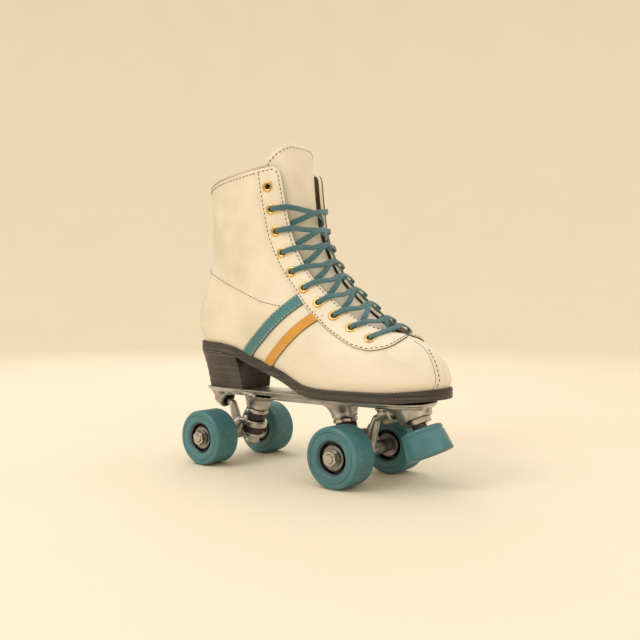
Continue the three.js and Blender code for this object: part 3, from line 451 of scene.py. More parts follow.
@dataclass
class Last:
    """The shape that the boot is built on, from the feather line (v = 0) up to the collar."""

    sole_length: float = 300.0
    sole_ahead: float = 13.0
    ball_half: float = 49.5
    shaft_rise: float = 215.0
    heel_rise: float = 39.5
    floor: float = 87.9
    throat: int = 4
    heel_squareness: float = 2.3
    girths: list[Girth] = field(default_factory=lambda: [
        Girth((0.493, 0.012), (-0.49, 0.184), 0.66, 0.68, 0.95, 0.7, 2.4),
        Girth((0.502, 0.05), (-0.503, 0.222), 0.71, 0.74, 1.0, 0.69, 2.35),
        Girth((0.488, 0.116), (-0.512, 0.274), 0.73, 0.77, 0.985, 0.67, 2.25),
        Girth((0.447, 0.179), (-0.508, 0.33), 0.74, 0.79, 0.93, 0.64, 2.15),
        Girth((0.363, 0.245), (-0.492, 0.395), 0.73, 0.79, 0.84, 0.6, 2.1),
        Girth((0.243, 0.363), (-0.457, 0.488), 0.71, 0.77, 0.76, 0.55, 2.2),
        Girth((0.117, 0.516), (-0.425, 0.6), 0.7, 0.77, 0.75, 0.52, 2.5),
        Girth((0.04, 0.702), (-0.412, 0.716), 0.73, 0.79, 0.78, 0.5, 2.8),
        Girth((0.013, 0.851), (-0.408, 0.826), 0.78, 0.83, 0.82, 0.5, 3.0),
        Girth((0.0, 1.0), (-0.411, 0.92), 0.81, 0.86, 0.85, 0.5, 3.0),
    ])

    @property
    def collar(self) -> int:
        """The girth line of the collar."""
        return len(self.girths) - 1

    def along(self, share: float) -> float:
        """Gives the X of a share of the sole's length."""
        return self.sole_ahead + share * self.sole_length

    def sole_height(self, x: float) -> float:
        """Gives the height of the upper's underside along the foot."""
        lift = smooth([(-0.5, 1), (-0.36, 0.97), (-0.28, 0.9), (-0.16, 0.64), (-0.025, 0.34), (0.1, 0.03),
                       (0.16, 0), (0.36, 0), (0.5, 0.08)], (x - self.sole_ahead) / self.sole_length)
        return self.floor + lift * self.heel_rise

    def ends(self, k: int) -> tuple[float, float, float, float]:
        """Gives the two ends of a girth line of the table.

        Args:
            k: The line's number.
        Returns:
            The front's share and height share, then the back's.
        """
        girth = self.girths[k]
        if k:
            return (*girth.front, *girth.back)
        rise = [(self.sole_height(self.along(end[0])) - self.floor) / self.shaft_rise
                for end in (girth.front, girth.back)]
        return girth.front[0], rise[0], girth.back[0], rise[1]

    @lru_cache(maxsize=4096)
    def line(self, v: float) -> tuple[float, ...]:
        """Reads a girth line between those of the table, and straight on above the collar.

        Args:
            v: The line's height on the last.
        Returns:
            The front's X and Z, the back's X and Z, three widths, the widest place and the squareness.
        """
        rows = [(*self.ends(k), g.heel, g.waist, g.ball, g.widest, g.squareness) for k, g in enumerate(self.girths)]
        top = self.collar
        if v > top:
            read = [a + (v - top) * (a - b) for a, b in zip(rows[top], rows[top - 1])]
        else:
            read = [smooth([(k, row[i]) for k, row in enumerate(rows)], v) for i in range(len(rows[0]))]
        front_x, front_z, back_x, back_z, *rest = read
        return (self.along(front_x), self.floor + front_z * self.shaft_rise, self.along(back_x),
                self.floor + back_z * self.shaft_rise, *rest)

    def point(self, v: float, angle: float) -> Vector:
        """Gives a point of the last's surface.

        Args:
            v: The girth line.
            angle: The place on it, from 0 at the heel over the right side to pi at the front.
        Returns:
            The point.
        """
        front_x, front_z, back_x, back_z, heel, waist, ball, widest, square = self.line(round(v, 5))
        left = angle > math.pi or angle < 0
        turn = 2 * math.pi - angle if angle > math.pi else abs(angle)
        power = self.heel_squareness if turn < math.pi / 2 else square
        reach = abs(math.cos(turn)) ** (2 / power)
        share = widest - widest * reach if turn < math.pi / 2 else widest + (1 - widest) * reach
        half = self.ball_half * smooth([(0.1, heel), (0.4, waist), (0.7, ball)], share)
        half *= abs(math.sin(turn)) ** (2 / power)
        x = lerp(back_x, front_x, share)
        ends = self.girths[0]
        chord = lerp(self.sole_height(self.along(ends.back[0])), self.sole_height(self.along(ends.front[0])), share)
        z = lerp(back_z, front_z, share) + max(0.0, 1 - v / self.throat) * (self.sole_height(x) - chord)
        inward = max(0.0, 1 - v / (self.throat + 1)) * 7 * smooth([(0.45, 0), (0.7, 0.15), (1, 1)], share)
        return Vector((x, inward + (half if left else -half), z))

    def normal(self, v: float, angle: float) -> Vector:
        """Gives the outward direction of the surface.

        Args:
            v: The girth line.
            angle: The place on it.
        Returns:
            The direction.
        """
        step = 0.02
        across = self.point(v, angle + step) - self.point(v, angle - step)
        up = self.point(v + step, angle) - self.point(max(v - step, 0), angle)
        return across.cross(up).normalized()

    def on(self, v: float, angle: float, proud: float = 0.0) -> Vector:
        """Gives a point at a height above the surface."""
        return self.point(v, angle) + self.normal(v, angle) * proud

    @lru_cache(maxsize=8192)
    def arc(self, v: float) -> tuple[np.ndarray, np.ndarray]:
        """Measures a girth line from the front round the right side."""
        angles = math.pi - np.linspace(0, 1, 120) ** 1.3 * (math.pi - 0.2)
        return run_lengths([self.point(v, a) for a in angles]), angles

    def front_angle(self, v: float, distance: float) -> float:
        """Gives the angle at a distance round a girth line from the front.

        Args:
            v: The girth line.
            distance: The distance, positive to the wearer's right.
        Returns:
            The angle.
        """
        lengths, angles = self.arc(round(v, 3))
        angle = float(np.interp(abs(distance), lengths, angles))
        return 2 * math.pi - angle if distance < 0 else angle

    def from_front(self, v: float, distance: float, proud: float = 0.0) -> Vector:
        """Gives a point by its distance round a girth line from the front."""
        return self.on(v, self.front_angle(v, distance), proud)

    def side_spot(self, x: float, z: float) -> Pair:
        """Finds the place that a line along Y meets on the right side.

        Args:
            x: The line's X.
            z: The line's Z.
        Returns:
            The girth line and the angle.
        """
        v, angle = 3.0, 1.4
        for _ in range(12):
            here, up, ahead = self.point(v, angle), self.point(v + 0.01, angle), self.point(v, angle + 0.01)
            dx, dz = x - here.x, z - here.z
            ux, uz, ax, az = ((up.x - here.x) * 100, (up.z - here.z) * 100, (ahead.x - here.x) * 100,
                              (ahead.z - here.z) * 100)
            whole = ux * az - uz * ax
            v = min(max(v + min(max((dx * az - dz * ax) / whole, -0.6), 0.6), 0), self.collar)
            angle += min(max((ux * dz - uz * dx) / whole, -0.4), 0.4)
        return v, angle

    def sole_edge(self, angle: float, out: float) -> Vector:
        """Gives a point of the sole's outline."""
        normal = self.normal(0, angle)
        return self.point(0, angle) + Vector((normal.x, normal.y, 0)).normalized() * out

    __hash__ = object.__hash__


LAST = Last()
THROAT_END = 3.88
UPPER_WALL = 3.0
FACING = 1.3
EYELET_ROWS = 10


def half_gap(v: float) -> float:
    """Gives half the width of the lacing gap.

    Args:
        v: The girth line.
    Returns:
        The distance round the line from the front.
    """
    corner = min(max((v - 8.62) / 0.38, 0), 1)
    return 13 * (1 - math.sqrt(1 - corner ** 2)) + smooth(
        [(THROAT_END, 4), (4, 21), (4.15, 28), (4.35, 32), (4.8, 36), (5.5, 35), (6.2, 33.5), (7, 32), (8, 33), (9, 36)],
        v)


def toe_seam(v: float) -> float:
    """Gives how far the toe's seam runs from the front."""
    return smooth([(0.52, 14.9), (2.2, 10.5), (3.2, 3.8), (3.8, 4.3)], v)


def eyelet_out(v: float) -> float:
    """Gives the distance of the eyelets from the front."""
    return smooth([(3.44, 47.5), (3.9, 52), (4.8, 56), (5.4, 55), (6.4, 50), (7, 47.5), (8.4, 48.6)], v)


def facing_out(v: float) -> float:
    """Gives the outer edge of the facing."""
    return smooth([(2.72, 64), (2.85, 74), (3.2, 81), (3.7, 83), (4.3, 80), (4.7, 77), (5.5, 67), (6.3, 62),
                   (7.4, 59), (9, 61)], v)


def facing_in(v: float) -> float:
    """Gives the inner edge of the facing, below the throat's end too."""
    if v > THROAT_END:
        return half_gap(v)
    return smooth([(2.72, 60), (2.85, 49), (3.1, 35), (3.36, 24), (3.6, 13), (3.83, 2), (THROAT_END, 4)], v)


def lace_lead(v: float) -> float:
    """Gives how far above the eyelets' line a lace meets the middle, because the girth lines fall to the toe."""
    return smooth([(3.4, 0.77), (4.6, 0.75), (5.9, 0.5), (7, 0.2), (8.4, 0.05)], v)


def eyelet_rows() -> list[float]:
    """Spaces the rows of eyelets evenly.

    Returns:
        The girth line of each row, from the top down.
    """
    heights = np.linspace(8.32, 3.44, 201)
    places = [LAST.from_front(v, eyelet_out(v)) for v in heights]
    lengths = np.cumsum([0] + [(b - a).length for a, b in zip(places, places[1:])])
    return [float(np.interp(lengths[-1] * row / (EYELET_ROWS - 1), lengths, heights)) for row in range(EYELET_ROWS)]


ROWS = eyelet_rows()


# ---- finishes
Colour = tuple[float, float, float]


class Shader:
    """A material's node tree with short calls for the nodes that the finishes share."""

    def __init__(self, name: str) -> None:
        """Makes an empty material with one shader.

        Args:
            name: The material's name.
        """
        self.material = bpy.data.materials.new(name)
        self.material.use_nodes = True
        self.tree = self.material.node_tree
        self.out = self.tree.nodes["Principled BSDF"]
        self.place = self.add("ShaderNodeTexCoord").outputs["Object"]

    def add(self, kind: str, inputs: dict[str, object] | None = None, **settings: object) -> bpy.types.Node:
        """Adds a node.

        Args:
            kind: The node's type.
            inputs: Values or sockets for its inputs.
            settings: Properties of the node.
        Returns:
            The node.
        """
        node = self.tree.nodes.new(kind)
        for key, value in settings.items():
            setattr(node, key, value)
        for key, value in (inputs or {}).items():
            self.feed(node.inputs[key], value)
        return node

    def feed(self, socket: bpy.types.NodeSocket, value: object) -> None:
        """Sets an input to a number, a colour or another node's output.

        Args:
            socket: The input.
            value: What goes into it.
        """
        if isinstance(value, bpy.types.NodeSocket):
            self.tree.links.new(value, socket)
        elif isinstance(value, tuple) and len(value) == 3 and socket.type == "RGBA":
            socket.default_value = (*value, 1)
        else:
            socket.default_value = value

    def noise(self, scale: float, detail: float = 4.0, rough: float = 0.55, stretch: tuple[float, ...] = (1, 1, 1)
              ) -> bpy.types.NodeSocket:
        """Reads a noise over the piece."""
        mapped = self.add("ShaderNodeMapping", {"Vector": self.place, "Scale": stretch})
        return self.add("ShaderNodeTexNoise", {"Vector": mapped.outputs[0], "Scale": scale, "Detail": detail,
                                               "Roughness": rough}).outputs[0]

    def cells(self, scale: float, feature: str = "DISTANCE_TO_EDGE") -> bpy.types.NodeSocket:
        """Reads a pattern of cells over the piece."""
        return self.add("ShaderNodeTexVoronoi", {"Vector": self.place, "Scale": scale}, feature=feature).outputs[0]

    def band(self, value: bpy.types.NodeSocket, low: float, high: float, to_low: float = 0.0, to_high: float = 1.0
             ) -> bpy.types.NodeSocket:
        """Stretches part of a value's range."""
        return self.add("ShaderNodeMapRange", {"Value": value, "From Min": low, "From Max": high, "To Min": to_low,
                                               "To Max": to_high}, interpolation_type="SMOOTHSTEP").outputs[0]

    def math(self, what: str, a: object, b: object = 0.0) -> bpy.types.NodeSocket:
        """Combines two numbers.

        Args:
            what: The operation.
            a: The first number.
            b: The second number.
        Returns:
            The result.
        """
        node = self.add("ShaderNodeMath", operation=what)
        self.feed(node.inputs[0], a)
        self.feed(node.inputs[1], b)
        return node.outputs[0]

    def mix(self, share: object, a: object, b: object) -> bpy.types.NodeSocket:
        """Mixes two colours.

        Args:
            share: How much of the second one shows.
            a: The first colour.
            b: The second colour.
        Returns:
            The mixed colour.
        """
        node = self.add("ShaderNodeMix", data_type="RGBA")
        for socket, value in ((node.inputs[0], share), (node.inputs[6], a), (node.inputs[7], b)):
            self.feed(socket, value)
        return node.outputs[2]

    def edges(self, reach: float, low: float = 0.56, high: float = 0.8) -> bpy.types.NodeSocket:
        """Finds the corners that stick out, by the bend of the shading normal.

        Args:
            reach: How far round a corner it looks, in metres.
            low: Where the mask starts.
            high: Where the mask is full.
        Returns:
            The mask.
        """
        soft = self.add("ShaderNodeBevel", {"Radius": reach}, samples=6).outputs[0]
        sharp = self.add("ShaderNodeNewGeometry").outputs["Normal"]
        alike = self.add("ShaderNodeVectorMath", operation="DOT_PRODUCT")
        self.feed(alike.inputs[0], soft)
        self.feed(alike.inputs[1], sharp)
        bent = self.math("SUBTRACT", 1.0, alike.outputs["Value"])
        return self.band(bent, 0.5 * (low - 0.5), 0.5 * (high - 0.5))

    def bump(self, height: bpy.types.NodeSocket, distance: float, strength: float = 1.0) -> None:
        """Adds a relief on top of those that the shader already has.

        Args:
            height: The relief's height, from 0 to 1.
            distance: Its depth in metres.
            strength: How much of it shows.
        """
        inputs = {"Height": height, "Distance": distance, "Strength": strength}
        links = self.out.inputs["Normal"].links
        if links:
            inputs["Normal"] = links[0].from_socket
        self.feed(self.out.inputs["Normal"], self.add("ShaderNodeBump", inputs).outputs[0])

    def surface(self, colour: object, roughness: object, metallic: float = 0.0, **rest: object) -> bpy.types.Material:
        """Sets the shader's look.

        Args:
            colour: The base colour.
            roughness: The roughness.
            metallic: 1 for bare metal.
            rest: Other inputs of the shader, with spaces as underscores.
        Returns:
            The material.
        """
        for name, value in {"Base Color": colour, "Roughness": roughness, "Metallic": metallic}.items():
            self.feed(self.out.inputs[name], value)
        for name, value in rest.items():
            self.feed(self.out.inputs[name.replace("_", " ")], value)
        return self.material


@dataclass(frozen=True)
class Leather:
    """Smooth or suede-like leather with pores, creases, soft stains and edges tinted to the worn colour: rubbed wear,
    and where that colour is darker, painted shade along the edges.
    """

    name: str
    colour: Colour
    stain: Colour
    worn: Colour
    roughness: float = 0.5
    grain: float = 0.00016
    stained: float = 0.5

    def make(self) -> bpy.types.Material:
        """Makes the leather.

        Returns:
            Its material.
        """
        s = Shader(self.name)
        cloud = s.band(s.noise(14, 5), 0.42, 0.72)
        fine = s.noise(260, 4)
        tint = s.mix(s.math("MULTIPLY", cloud, self.stained), self.colour, self.stain)
        tint = s.mix(s.math("MULTIPLY", s.band(fine, 0.5, 0.75), 0.1), tint, self.stain)
        # Edge tint: rubbed wear; where the worn colour is darker, as on the cream leather and the binding, it is also
        # painted shade along the edges.
        rubbed = s.math("MULTIPLY", s.edges(0.0012), s.band(s.noise(60, 3), 0.35, 0.6, 0.25, 0.9))
        tint = s.mix(rubbed, tint, self.worn)
        pores = s.band(s.cells(1100, "F1"), 0.1, 0.65, 1, 0)
        s.bump(pores, self.grain, 0.45)
        s.bump(s.noise(90, 5, 0.6), 0.0006, 0.5)
        rough = s.band(s.noise(35, 3), 0.3, 0.7, self.roughness - 0.09, self.roughness + 0.1)
        return s.surface(tint, rough, Specular_IOR_Level=0.42)


@dataclass(frozen=True)
class StackedLeather:
    """Dark leather pressed in level layers, with burnished faces and scuffed corners."""

    name: str
    colour: Colour
    light: Colour
    layer: float = 0.0032

    def make(self) -> bpy.types.Material:
        """Makes the layers.

        Returns:
            Its material.
        """
        s = Shader(self.name)
        height = s.add("ShaderNodeSeparateXYZ", {"Vector": s.place}).outputs[2]
        wavy = s.math("ADD", height, s.math("MULTIPLY", s.noise(30, 2), 0.0012))
        saw = s.math("FRACT", s.math("DIVIDE", wavy, self.layer))
        seam = s.band(s.math("ABSOLUTE", s.math("SUBTRACT", saw, 0.5)), 0.4, 0.49)
        tone = s.noise(9, 2, 0.5, (1, 1, 60))
        tint = s.mix(s.band(tone, 0.35, 0.68), self.colour, self.light)
        tint = s.mix(s.math("MULTIPLY", seam, 0.65), tint, tuple(c * 0.35 for c in self.colour))
        fibre = s.noise(70, 5, 0.6, (1, 1, 12))
        tint = s.mix(s.math("MULTIPLY", s.band(fibre, 0.55, 0.75), 0.35), tint, self.light)
        scuffed = s.math("MULTIPLY", s.edges(0.0012), s.band(s.noise(120, 3), 0.4, 0.62))
        tint = s.mix(scuffed, tint, tuple(min(1, c * 3.2) for c in self.light))
        s.bump(s.math("SUBTRACT", 1.0, seam), 0.00035, 0.7)
        s.bump(fibre, 0.0003, 0.5)
        return s.surface(tint, s.band(s.noise(40, 3), 0.3, 0.7, 0.42, 0.62), Specular_IOR_Level=0.45)


@dataclass(frozen=True)
class Metal:
    """Cast, turned or pressed metal with grain, painted shade in its hollows, random stains and polished edges."""

    name: str
    colour: Colour
    dirt: Colour
    roughness: float = 0.35
    grain: float = 0.0
    dirty: float = 0.5
    polish: float = 0.5

    def make(self) -> bpy.types.Material:
        """Makes the metal.

        Returns:
            Its material.
        """
        s = Shader(self.name)
        patch = s.band(s.noise(55, 5, 0.62), 0.45, 0.72)
        # Painted shade: the hollows that ambient occlusion finds are darkened towards the second colour, mixed with
        # random stain patches.
        deep = s.add("ShaderNodeAmbientOcclusion", {"Distance": 0.006}, samples=6).outputs["AO"]
        painted_shade_and_stains = s.math("MAXIMUM", s.band(deep, 0.25, 0.85, 1, 0), s.math("MULTIPLY", patch, 0.6))
        tint = s.mix(s.math("MULTIPLY", painted_shade_and_stains, self.dirty), self.colour, self.dirt)
        shine = s.math("MULTIPLY", s.edges(0.0007), self.polish)
        tint = s.mix(shine, tint, tuple(min(1.0, c * 1.25) for c in self.colour))
        if self.grain:
            s.bump(s.noise(900, 3), self.grain, 0.7)
            s.bump(s.noise(170, 3), self.grain * 2, 0.4)
        scratches = s.band(s.noise(240, 2, 0.5, (1, 14, 1)), 0.62, 0.7)
        rough = s.math("ADD", s.band(s.noise(80, 4), 0.3, 0.7, self.roughness - 0.06, self.roughness + 0.14),
                       s.math("MULTIPLY", scratches, 0.08))
        rough = s.math("SUBTRACT", rough, s.math("MULTIPLY", shine, 0.15))
        return s.surface(tint, rough, 1.0)


@dataclass(frozen=True)
class Rubber:
    """Moulded rubber or urethane with a satin skin, dust and rubbed edges."""

    name: str
    colour: Colour
    dust: Colour
    roughness: float = 0.45
    coat: float = 0.0
    see_in: float = 0.0
    dusty: float = 0.5

    def make(self) -> bpy.types.Material:
        """Makes the rubber.

        Returns:
            Its material.
        """
        s = Shader(self.name)
        shade = s.mix(s.band(s.noise(22, 4), 0.4, 0.7), self.colour, tuple(c * 0.78 for c in self.colour))
        dusty = s.math("MULTIPLY", s.band(s.noise(120, 6, 0.65), 0.5, 0.75), self.dusty)
        rubbed = s.math("MULTIPLY", s.edges(0.0012), s.band(s.noise(200, 3), 0.4, 0.6, 0.1, 0.7))
        tint = s.mix(s.math("MAXIMUM", dusty, rubbed), shade, self.dust)
        s.bump(s.noise(600, 4), 0.00008, 0.6)
        scratches = s.band(s.noise(420, 2, 0.5, (1, 0.08, 1)), 0.64, 0.72)
        s.bump(scratches, 0.00005, 0.4)
        rough = s.math("ADD", s.band(s.noise(70, 3), 0.3, 0.7, self.roughness - 0.08, self.roughness + 0.1),
                       s.math("MULTIPLY", rubbed, 0.2))
        return s.surface(tint, rough, Coat_Weight=self.coat, Coat_Roughness=0.25, Subsurface_Weight=self.see_in,
                         Subsurface_Scale=0.004)


@dataclass(frozen=True)
class Woven:
    """Cloth woven of two threads, by the piece's own UV map, or by its place where it has none."""

    name: str
    colour: Colour
    deep: Colour
    across: float = 9.0
    along: float = 900.0
    by_uv: bool = True
    roughness: float = 0.85

    def make(self) -> bpy.types.Material:
        """Makes the cloth.

        Returns:
            Its material.
        """
        s = Shader(self.name)
        if self.by_uv:
            source = s.add("ShaderNodeUVMap", uv_map="weave").outputs[0]
            u, v = (s.add("ShaderNodeSeparateXYZ", {"Vector": source}).outputs[i] for i in (0, 1))
            slant = s.math("MULTIPLY", u, self.across)
            run = s.math("MULTIPLY", v, self.along)
            one = s.math("SINE", s.math("MULTIPLY", s.math("ADD", slant, run), math.pi))
            two = s.math("SINE", s.math("MULTIPLY", s.math("SUBTRACT", slant, run), math.pi))
            weave = s.math("ABSOLUTE", s.math("MULTIPLY", one, two))
        else:
            weave = s.math("ABSOLUTE", s.math("SUBTRACT", s.noise(self.along, 1, 0.4), 0.5))
            weave = s.band(weave, 0.0, 0.16)
        fuzz = s.noise(2400, 2)
        worn = s.band(s.noise(45, 3), 0.45, 0.7, 0.0, 0.3)
        tint = s.mix(s.band(weave, 0.1, 0.8, 0.75, 0.0), self.colour, self.deep)
        tint = s.mix(worn, tint, tuple(min(1.0, c * 1.7 + 0.02) for c in self.colour))
        s.bump(weave, 0.00025, 0.9)
        s.bump(fuzz, 0.0001, 0.5)
        return s.surface(tint, self.roughness, Sheen_Weight=0.35, Sheen_Roughness=0.6, Specular_IOR_Level=0.25)


@dataclass
class Finishes:
    """Every material of the skate, made once each."""

    made: dict[str, bpy.types.Material] = field(default_factory=dict)
    kinds: tuple[Leather | StackedLeather | Metal | Rubber | Woven, ...] = (
        # The darker worn colours of the cream leather and the binding are edge wear and painted shade along the edges.
        Leather("cream leather", (0.83, 0.76, 0.63), (0.55, 0.46, 0.33), (0.6, 0.49, 0.35), stained=0.42),
        Leather("worn binding", (0.62, 0.54, 0.42), (0.3, 0.24, 0.17), (0.3, 0.24, 0.17), stained=0.6),
        Leather("teal leather", (0.065, 0.215, 0.245), (0.035, 0.135, 0.145), (0.24, 0.4, 0.39), 0.5),
        Leather("amber leather", (0.68, 0.33, 0.045), (0.46, 0.18, 0.02), (0.82, 0.58, 0.3), 0.5),
        # Edge paint, which also stands as a painted shadow line along the panels' borders.
        Leather("cut edge", (0.13, 0.09, 0.055), (0.06, 0.04, 0.025), (0.22, 0.16, 0.1), 0.7),
        Leather("dark piping", (0.05, 0.045, 0.04), (0.02, 0.018, 0.016), (0.2, 0.17, 0.14), 0.45),
        Leather("lining leather", (0.17, 0.13, 0.09), (0.09, 0.065, 0.045), (0.25, 0.2, 0.14), 0.75, stained=0.7),
        StackedLeather("stacked leather", (0.04, 0.033, 0.028), (0.085, 0.07, 0.056)),
        StackedLeather("sole edge", (0.03, 0.026, 0.023), (0.055, 0.047, 0.04), 0.02),
        # Each metal's second colour is painted shade in its hollows as well as dirt.
        Metal("cast alloy", (0.56, 0.54, 0.5), (0.06, 0.05, 0.04), 0.34, 0.00016, 0.95, 0.9),
        Metal("steel", (0.5, 0.48, 0.44), (0.13, 0.11, 0.085), 0.24, 0.0, 0.7),
        Metal("brass", (0.78, 0.52, 0.2), (0.36, 0.2, 0.06), 0.28, 0.0, 0.6),
        Metal("dark hub", (0.17, 0.17, 0.17), (0.045, 0.04, 0.038), 0.42, 0.0001, 0.7, 0.9),
        Metal("bearing shield", (0.34, 0.33, 0.32), (0.09, 0.08, 0.07), 0.3, 0.0, 0.6),
        Rubber("black rubber", (0.028, 0.026, 0.025), (0.13, 0.115, 0.1), 0.6),
        # Painted shadow: the near-black finish of the discs that darken the eyelets' holes.
        Rubber("dark cloth", (0.004, 0.0035, 0.003), (0.006, 0.005, 0.004), 0.95, dusty=0.1),
        Rubber("teal urethane", (0.06, 0.2, 0.235), (0.17, 0.31, 0.31), 0.36, 0.12, 0.04, 0.2),
        Rubber("tread urethane", (0.052, 0.18, 0.21), (0.18, 0.28, 0.27), 0.58, 0.0, 0.04, 0.5),
        Rubber("thread", (0.1, 0.075, 0.05), (0.22, 0.17, 0.12), 0.7),
        Rubber("pale thread", (0.7, 0.62, 0.46), (0.5, 0.42, 0.3), 0.7),
        Woven("teal lace", (0.07, 0.225, 0.27), (0.012, 0.06, 0.07)),
        Woven("lining cloth", (0.2, 0.165, 0.12), (0.09, 0.07, 0.05), along=1500.0, by_uv=False),
    )

    def __getitem__(self, name: str) -> bpy.types.Material:
        """Gives a finish's material."""
        if name not in self.made:
            self.made[name] = next(kind for kind in self.kinds if kind.name == name).make()
        return self.made[name]


FINISH = Finishes()


def dress(obj: Piece, finish: str | Sequence[str], body: str, nodes: Sequence[str] = ()
          ) -> Piece:
    """Gives a piece its finish, its body and the frame's nodes that it stands for.

    Args:
        obj: The piece.
        finish: The finish's name, or one for each material index.
        body: The frame's body that it rides on, or nothing to leave it on none.
        nodes: The frame's nodes that it stands for.
    Returns:
        The same piece.
    """
    names = [finish] if isinstance(finish, str) else list(finish)
    if not any(obj.data.materials):
        obj.data.materials.clear()
        for name in names:
            obj.data.materials.append(FINISH[name])
    if nodes:
        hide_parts(*nodes)
    if body:
        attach(obj, body)
    LOG.info("%-28s %7d faces on %s", obj.name, len(obj.data.polygons), body)
    return obj


# ---- scattered details
@dataclass
class Spot:
    """A place for a repeated piece, with the direction that it runs and the one that it faces."""

    at: Vector
    along: Vector
    up: Vector
    size: float = 1.0


class Scatter:
    """Copies of one small piece at many spots, laid by a Geometry Nodes tree and joined into one mesh."""

    def __init__(self, name: str, piece: Piece, finish: str, jitter: float = 0.0, seed: int = 7) -> None:
        """Makes the tree.

        Args:
            name: The name of what it makes.
            piece: The piece to copy, at the origin, along +X and facing +Z, which is used up.
            finish: The copies' finish.
            jitter: How far the copies turn about their facing direction, at most, in radians.
            seed: The seed of that turning.
        """
        self.name, self.piece, self.finish, self.jitter, self.seed = name, piece, finish, jitter, seed
        self.tree = bpy.data.node_groups.new(f"{name} scatter", "GeometryNodeTree")
        self.sockets = {socket.name: socket.identifier for socket in self.declare()}
        self.wire()

    def declare(self) -> list[bpy.types.NodeTreeInterfaceSocket]:
        """Names the tree's inputs and output.

        Returns:
            Its inputs.
        """
        make = self.tree.interface.new_socket
        make(name="Geometry", in_out="OUTPUT", socket_type="NodeSocketGeometry")
        kinds = {"Spots": "Geometry", "Piece": "Object", "Finish": "Material", "Jitter": "Float", "Seed": "Int"}
        return [make(name=name, in_out="INPUT", socket_type=f"NodeSocket{kind}") for name, kind in kinds.items()]

    def wire(self) -> None:
        """Lays the nodes: align, copy, realise and finish."""
        nodes, links = self.tree.nodes, self.tree.links
        source, out = nodes.new("NodeGroupInput").outputs, nodes.new("NodeGroupOutput")
        named = {}
        for name, kind in (("along", "FLOAT_VECTOR"), ("up", "FLOAT_VECTOR"), ("size", "FLOAT")):
            node = nodes.new("GeometryNodeInputNamedAttribute")
            node.data_type = kind
            node.inputs["Name"].default_value = name
            named[name] = node.outputs["Attribute"]
        face = nodes.new("FunctionNodeAlignRotationToVector")
        face.axis = "Z"
        links.new(named["up"], face.inputs["Vector"])
        run = nodes.new("FunctionNodeAlignRotationToVector")
        run.axis, run.pivot_axis = "X", "Z"
        links.new(face.outputs[0], run.inputs["Rotation"])
        links.new(named["along"], run.inputs["Vector"])
        chance = nodes.new("FunctionNodeRandomValue")
        chance.data_type = "FLOAT"
        low = nodes.new("ShaderNodeMath")
        low.operation = "MULTIPLY"
        low.inputs[1].default_value = -1
        links.new(source["Jitter"], low.inputs[0])
        links.new(low.outputs[0], chance.inputs[2])
        links.new(source["Jitter"], chance.inputs[3])
        links.new(source["Seed"], chance.inputs["Seed"])
        turn = nodes.new("ShaderNodeCombineXYZ")
        links.new(chance.outputs[1], turn.inputs[2])
        spin = nodes.new("FunctionNodeRotateRotation")
        spin.rotation_space = "LOCAL"
        links.new(run.outputs[0], spin.inputs[0])
        links.new(turn.outputs[0], spin.inputs[1])
        info = nodes.new("GeometryNodeObjectInfo")
        links.new(source["Piece"], info.inputs["Object"])
        copies = nodes.new("GeometryNodeInstanceOnPoints")
        for socket, value in (("Points", source["Spots"]), ("Instance", info.outputs["Geometry"]),
                              ("Rotation", spin.outputs[0]), ("Scale", named["size"])):
            links.new(value, copies.inputs[socket])
        real = nodes.new("GeometryNodeRealizeInstances")
        links.new(copies.outputs[0], real.inputs[0])
        paint = nodes.new("GeometryNodeSetMaterial")
        links.new(real.outputs[0], paint.inputs["Geometry"])
        links.new(source["Finish"], paint.inputs["Material"])
        links.new(paint.outputs[0], out.inputs[0])

    def lay(self, spots: Sequence[Spot]) -> Piece:
        """Puts the copies in place.

        Args:
            spots: Where they go, in millimetres about the middle of the wheelbase.
        Returns:
            One object with all of them.
        """
        mesh = bpy.data.meshes.new(self.name)
        mesh.from_pydata([place(spot.at) for spot in spots], [], [])
        for name, kind, key, values in (("along", "FLOAT_VECTOR", "vector", [c for s in spots for c in s.along]),
                                        ("up", "FLOAT_VECTOR", "vector", [c for s in spots for c in s.up]),
                                        ("size", "FLOAT", "value", [s.size for s in spots])):
            mesh.attributes.new(name, kind, "POINT").data.foreach_set(key, values)
        obj = new_object(self.name, mesh)
        layer = obj.modifiers.new("scatter", "NODES")
        layer.node_group = self.tree
        for name, value in (("Piece", self.piece), ("Finish", FINISH[self.finish]), ("Jitter", self.jitter),
                            ("Seed", self.seed)):
            layer[self.sockets[name]] = value
        baked(obj)
        bpy.data.objects.remove(self.piece)
        for face in obj.data.polygons:
            face.use_smooth = True
        return obj


def stitch_piece(length: float = 2.9, radius: float = 0.42) -> Piece:
    """Makes one stitch, a short thread that dips at its ends.

    Args:
        length: Its length in millimetres.
        radius: The thread's radius.
    Returns:
        The stitch at the origin, in metres, along +X and facing +Z.
    """
    stations = np.linspace(-1, 1, 7)
    rings = [[Vector((t * length / 2, c * radius * w, (0.28 - 0.75 * t * t) * radius * 1.4 + s * radius * w))
              for c, s in round_turn(6)] for t, w in zip(stations, (0.45, 0.9, 1, 1, 1, 0.9, 0.45))]
    faces = [*grid_faces(len(rings), 6, True), tuple(reversed(range(6))), tuple(range(36, 42))]
    mesh = bpy.data.meshes.new("stitch")
    mesh.from_pydata([p * MM for ring in rings for p in ring], [], faces)
    return new_object("stitch", tidy(mesh, 70, 1e-7))


